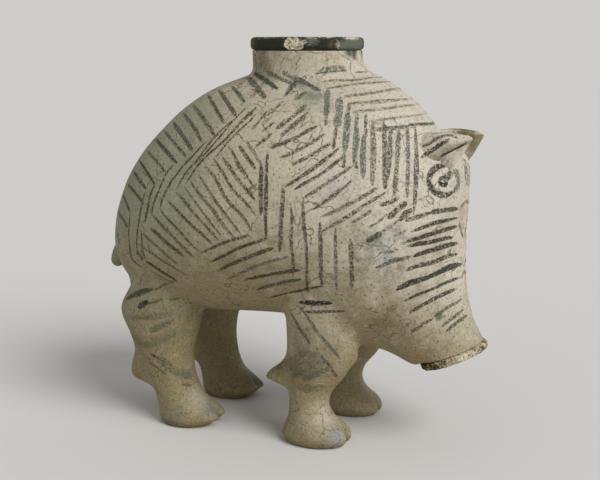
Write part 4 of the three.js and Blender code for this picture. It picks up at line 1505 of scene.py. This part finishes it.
# The clay's colour, roughness and height at every place, from its own coordinates in millimetres
def clayLook(start):
    rising = lambda value, name: value.rising(*clayMasks[name])
    place = start.node("ShaderNodeTexCoord", output="Object")
    place = place.node("ShaderNodeVectorMath", {"operation": "SCALE"},
                       {0: place, "Scale": 1 / metresPerMm})
    x, y, z = (place.node("ShaderNodeSeparateXYZ", {}, {0: place}, axis) for axis in "XYZ")
    blotch, mottle, grain, fineGrain = (
        place.noise(*clayNoise[name]) for name in ("blotch", "mottle", "grain", "fineGrain"))

    # Greyish at the rump and pale at the head, partly the clay's own tone and partly painted light on
    # the snout's side; painted shade under faces that look down, darker down the legs with partly
    # painted shade, and darker at the soles
    headward = x * claySway["palePerMm"] + claySway["paleAtMiddle"]
    headward = (headward + (blotch - 0.5) * claySway["paleBlotch"]).limited()
    base = place.colour(clay["rump"])
    base = base.towards(clay["stone"], rising(headward, "stone"))
    base = base.towards(clay["cream"], rising(headward, "cream"))
    # Painted shade on faces that look down, above the feet
    facing = place.node("ShaderNodeNewGeometry", output="Normal")
    upward = facing.node("ShaderNodeSeparateXYZ", {}, {0: facing}, "Z")
    upward = upward + (mottle - 0.5) * claySway["undersideMottle"]
    under = (1 - rising(upward, "underside")) * rising(z, "aboveFeet")
    base = base.towards(clay["shaded"], under * clayCover["underside"])
    # Darker down the legs: partly stains and partly painted shade
    raggedZ = z + (blotch - 0.5) * claySway["legsBlotch"] + (mottle - 0.5) * claySway["legsMottle"]
    low = 1 - rising(raggedZ, "legs")
    base = base.towards(clay["shaded"], low * clayCover["legs"])
    sole = 1 - rising(z + (mottle - 0.5) * claySway["soleMottle"], "sole")
    base = base.towards(clay["sole"], sole * clayCover["sole"])

    # Both sides get the same patches, so they are measured with y folded over
    folded = place.node("ShaderNodeCombineXYZ", {}, {"X": x, "Y": y.maths("ABSOLUTE", y), "Z": z})
    for at, on, radius, patchColour, strength in stainsAndPaintedLight:
        u, v = findOn(surfaces[on], [at], inImage, facesCamera)
        centre = surfaces[on]["shape"](u, v, farSide)[0]
        away = folded.node("ShaderNodeVectorMath", {"operation": "DISTANCE"},
                           {0: folded, 1: centre.tolist()}, "Value")
        ragged = (away + (mottle - 0.5) * (patchEdge["mottle"] * radius)
                  + (grain - 0.5) * patchEdge["grain"])
        inside = 1 - ragged.rising(0.0, patchEdge["fade"] * radius)
        base = base.towards(patchColour, inside * strength)

    # Specks in some of the cells around scattered points
    cells = {"Vector": place, "Scale": clayCells["speck"]}
    near, pick = (place.node("ShaderNodeTexVoronoi", {"feature": "F1"}, cells, output)
                  for output in ("Distance", "Color"))
    pick = pick.node("ShaderNodeSeparateColor", {}, {0: pick}, "Red")
    near = near + (grain - 0.5) * claySway["speckGrain"]
    speck = (1 - rising(near, "speck")) * rising(pick, "speckPick")

    # Fine cracks along the bent edges of larger cells, in patches
    bend = place.node("ShaderNodeTexNoise", {}, {
        "Vector": place, "Scale": clayCells["bendNoise"]}, "Color")
    bend = bend.node("ShaderNodeVectorMath", {"operation": "SCALE"}, {
        0: bend, "Scale": clayCells["bend"]})
    bent = bend.node("ShaderNodeVectorMath", {"operation": "ADD"}, {0: place, 1: bend})
    seams = place.node("ShaderNodeTexVoronoi", {"feature": "DISTANCE_TO_EDGE"},
                       {"Vector": bent, "Scale": clayCells["crack"]}, "Distance")
    crack = (1 - rising(seams, "crack")) * rising(blotch, "crackBlotch")
    crack = crack * rising(mottle, "crackMottle")

    layers = (
        ("umber", 1 - rising(mottle, "darkMottle"), "darkMottle"),
        ("cream", rising(mottle, "paleMottle"), "paleMottle"),
        ("umber", 1 - rising(grain, "darkGrain"), "darkGrain"),
        ("umber", 1 - rising(fineGrain, "darkFineGrain"), "darkFineGrain"),
        ("cream", rising(grain, "paleGrain"), "paleGrain"),
        ("speck", speck, "speck"),
        ("crack", crack, "crack"),
    )
    colour = base
    for tone, mask, cover in layers:
        colour = colour.towards(clay[tone], mask * clayCover[cover])
    roughness = clayRoughness["least"] + grain * clayRoughness["grain"]
    height = (mottle * clayHeights["mottle"] + grain * clayHeights["grain"]
              + fineGrain * clayHeights["fineGrain"]
              - speck * clayHeights["speck"] - crack * clayHeights["crack"])
    return {"place": place, "colour": colour, "roughness": roughness, "height": height,
            "mottle": mottle, "grain": grain, "fineGrain": fineGrain, "x": x}


def newMaterial(name):
    material = bpy.data.materials.new(name)
    material.use_nodes = True
    material.node_tree.nodes.clear()
    return material, Wire(material.node_tree)


relief = {"bump": 0.55, "height": 0.0006, "specular": 0.3}    # the height is in metres


def finishMaterial(start, look, bump=relief["bump"]):
    normal = start.node("ShaderNodeBump", {}, {
        "Strength": bump, "Distance": relief["height"], "Height": look["height"]})
    shader = start.node("ShaderNodeBsdfPrincipled", {}, {
        "Base Color": look["colour"], "Roughness": look["roughness"], "Normal": normal,
        "Specular IOR Level": relief["specular"]})
    start.node("ShaderNodeOutputMaterial", {}, {"Surface": shader}, None)


def clayMaterial():
    material, start = newMaterial("paintedClay")
    finishMaterial(start, clayLook(start))
    return material


ink = {
    "coarse": (1.3, 3.0, 0.7),       # size, detail and roughness of the noise that breaks it up
    "breaks": {"coarse": 1.8, "grain": 4.6, "fineGrain": 3.6},
    "load": 1.15,                    # how much paint a stroke's strength stands for
    "thinEdge": 0.7,
    "thinEnd": 0.35,
    "end": (0.72, 1.0),
    "cover": (0.28, 0.78),
    "opacity": 0.96,
    "thickness": 0.12,
    "darkGrain": 0.6,
    "darkCoarse": 0.5,
    "dark": (0.46, 0.62),
    "blackFrom": 0.42,               # the strength from which it blackens, and how fast
    "blackening": 1.7,
    "blackSpecks": 0.35,
    "blue": (0.35, 0.6),
    "blueness": 1.15,
}


# Worn paint over the clay: it thins out towards the edges and dry ends of each stroke and breaks
# up into grains
def inkMaterial():
    material, start = newMaterial("darkStrokes")
    look = clayLook(start)
    acrossStroke, alongStroke, strength, blue = (
        start.stored(name) for name in ("across", "along", "strength", "blue"))
    edge = acrossStroke * acrossStroke
    edge = edge * edge
    fromMiddle = alongStroke * 2 - 1
    end = (fromMiddle * fromMiddle).rising(*ink["end"])
    coarse = look["place"].noise(*ink["coarse"])
    breaks = ink["breaks"]
    specks = (look["grain"] - 0.5) * breaks["grain"] + (look["fineGrain"] - 0.5) * breaks["fineGrain"]
    paint = (strength * ink["load"] + (coarse - 0.5) * breaks["coarse"] + specks
             - edge * ink["thinEdge"] - end * ink["thinEnd"])
    cover = paint.rising(*ink["cover"])
    dark = look["grain"] * ink["darkGrain"] + coarse * ink["darkCoarse"]
    depth = ((strength - ink["blackFrom"]) * ink["blackening"]
             + (1 - dark.rising(*ink["dark"])) * ink["blackSpecks"])
    colour = start.colour(clay["inkOlive"]).towards(clay["inkBlack"], depth.limited())
    bluish = (blue * ink["blueness"] * coarse.rising(*ink["blue"])).limited()
    colour = colour.towards(clay["inkBlue"], bluish)
    look["colour"] = look["colour"].towards(colour, cover * ink["opacity"])
    look["height"] = look["height"] + cover * ink["thickness"]
    finishMaterial(start, look)
    return material


lipPaint = {
    "grey": (0.25, 0.8),
    "brown": (0.3, 0.8),
    "brownCover": 0.85,
    "bare": (0.5, 1.05),
    "hollows": (0.44, 0.5),      # in the chip's broken clay
    "hollowCover": 0.75,
    "hollowGrain": 0.6,
    "hollowMottle": 0.4,
    "chip": (0.3, 0.7),
    "wear": 1.5,
    "bump": 0.9,
}

# How far the noises move the edges of the lip's patches
lipSway = {"grey": 1.2, "brownGrain": 1.6, "bareGrain": 3.2, "bareMottle": 1.2, "chipGrain": 0.8}


# The lip's paint, which is thick and dark, worn to clay on its edges and gone from the chip
def rimMaterial():
    material, start = newMaterial("rimPaint")
    look = clayLook(start)
    chip, worn, brown, grey = (start.stored(name) for name in ("chip", "worn", "brown", "grey"))
    grain, mottle = look["grain"] - 0.5, look["mottle"] - 0.5
    greyish = grey + mottle * lipSway["grey"] + grain * lipSway["grey"]
    greyish = greyish.rising(*lipPaint["grey"])
    brownish = (brown + grain * lipSway["brownGrain"]).rising(*lipPaint["brown"])
    brownish = brownish * lipPaint["brownCover"]
    dark = start.colour(clay["rimDark"]).towards(clay["rimGrey"], greyish)
    dark = dark.towards(clay["rimBrown"], brownish)
    bare = (worn * lipPaint["wear"] + grain * lipSway["bareGrain"]
            + mottle * lipSway["bareMottle"]).rising(*lipPaint["bare"])
    hollows = look["grain"] * lipPaint["hollowGrain"] + look["mottle"] * lipPaint["hollowMottle"]
    hollows = 1 - hollows.rising(*lipPaint["hollows"])
    broken = start.colour(clay["bareClay"]).towards(clay["umber"], hollows * lipPaint["hollowCover"])
    chipped = (chip + grain * lipSway["chipGrain"]).rising(*lipPaint["chip"])
    look["colour"] = look["colour"].towards(dark, 1 - bare).towards(broken, chipped)
    finishMaterial(start, look, lipPaint["bump"])
    return material


discPaint = {
    "front": (58.0, 74.0),       # the disc's x, over which its crumbs turn paler
    "paleFrom": 0.75,
    "paler": 0.08,
    "crumbMottle": 0.5,
    "crumbGrain": 0.5,
    "bare": {"crumbs": (0.5, 0.58), "cover": 0.8},
    "brown": {"crumbs": (0.46, 0.53), "cover": 0.75},
    "dark": {"crumbs": (0.41, 0.47), "cover": 0.9},
    "bump": 0.8,
}


# The snout's disc: bare clay with dark paint that is left in its hollows
def discMaterial():
    material, start = newMaterial("wornDisc")
    look = clayLook(start)
    forwards = look["x"].rising(*discPaint["front"])
    crumbs = look["mottle"] * discPaint["crumbMottle"] + look["grain"] * discPaint["crumbGrain"]
    crumbs = crumbs + (forwards - discPaint["paleFrom"]) * discPaint["paler"]
    bare, brown, dark = (
        crumbs.rising(*discPaint[name]["crumbs"]) for name in ("bare", "brown", "dark"))
    look["colour"] = (
        look["colour"].towards(clay["bareClay"], bare * discPaint["bare"]["cover"])
        .towards(clay["rimBrown"], (1 - brown) * discPaint["brown"]["cover"])
        .towards(clay["inkBlack"], (1 - dark) * discPaint["dark"]["cover"]))
    finishMaterial(start, look, discPaint["bump"])
    return material


paintedClay = clayMaterial()
darkStrokes = inkMaterial()
print("materials made")

addPiece("body", bodyMesh(), paintedClay, "painted_clay", "body_bowl", "body_dome", "head_shell")
print("body shaped")
addPiece("collar", collarMesh(), paintedClay, "painted_clay", "neck_collar")
addPiece("lip", lipMesh(), rimMaterial(), "dark_paint", "rim_lip")
addPiece("disc", discMesh(), discMaterial(), "worn_clay", "snout_disc")
addPiece("tail", tailMesh(), paintedClay, "painted_clay", "tail")
for sideName, side in (("right", nearSide), ("left", farSide)):
    for place, surface in legSurfaces.items():
        name = place + sideName.capitalize() + "Leg"
        addPiece(name, legMesh(name, surface, side), paintedClay, "painted_clay",
                 f"{place}_{sideName}_leg")
    addPiece(sideName + "Ear", earMesh(sideName + "Ear", side), paintedClay, "painted_clay",
             f"{sideName}_ear")
print("limbs, ears, tail, mouth and disc shaped")

strokes = paintStrokes()
for sideName, side in (("right", nearSide), ("left", farSide)):
    name = sideName + "Strokes"
    addPiece(name, strokes[side].mesh(name), darkStrokes, "dark_paint")
print("strokes painted")

# Floor and light
floor = {"half": 3.0, "colour": tint(226, 224, 220), "roughness": 0.9}
studio = {
    "ambient": 0.38,
    "ambientColour": tint(252, 252, 255),
    "backdrop": tint(206, 205, 201),    # as pale as the lit floor, so that the two run together
    "sun": {"from": (0.85, -0.38, 0.78), "strength": 2.1, "spread": 34.0},
}


# A level square under the feet
def makeFloor():
    half = floor["half"]
    mesh = bpy.data.meshes.new("floor")
    mesh.from_pydata([(-half, -half, 0), (half, -half, 0), (half, half, 0), (-half, half, 0)],
                     [], [(0, 1, 2, 3)])
    material, start = newMaterial("floorPaint")
    shader = start.node("ShaderNodeBsdfPrincipled", {}, {
        "Base Color": floor["colour"], "Roughness": floor["roughness"]})
    start.node("ShaderNodeOutputMaterial", {}, {"Surface": shader}, None)
    mesh.materials.append(material)
    ground = bpy.data.objects.new("floor", mesh)
    bpy.context.scene.collection.objects.link(ground)
    ground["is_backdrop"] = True


# One soft sun and an even world, which looks like the backdrop wherever it is seen or reflected
def makeLights():
    sun = bpy.data.lights.new("sun", "SUN")
    sun.energy = studio["sun"]["strength"]
    sun.angle = math.radians(studio["sun"]["spread"])
    lamp = bpy.data.objects.new("sun", sun)
    lamp.rotation_euler = Vector(studio["sun"]["from"]).to_track_quat("Z", "Y").to_euler()
    bpy.context.scene.collection.objects.link(lamp)
    world = bpy.data.worlds.new("studio")
    world.use_nodes = True
    world.node_tree.nodes.clear()
    start = Wire(world.node_tree)
    light = start.node("ShaderNodeBackground", {}, {
        "Color": studio["ambientColour"], "Strength": studio["ambient"]})
    backdrop = start.node("ShaderNodeBackground", {}, {"Color": studio["backdrop"], "Strength": 1.0})
    direct, glossy, through = (start.node("ShaderNodeLightPath", output=f"Is {kind} Ray")
                               for kind in ("Camera", "Glossy", "Transmission"))
    seen = (direct + glossy + through).limited()
    either = start.node("ShaderNodeMixShader", {}, {0: seen, 1: light, 2: backdrop})
    start.node("ShaderNodeOutputWorld", {}, {"Surface": either}, None)
    bpy.context.scene.world = world


makeFloor()
makeLights()
bpy.context.scene.view_settings.view_transform = "Standard"
print("floor and lights placed")

({"cad": [list(corner) for corner in cadBox],
           "visual": [list(corner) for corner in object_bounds()]})
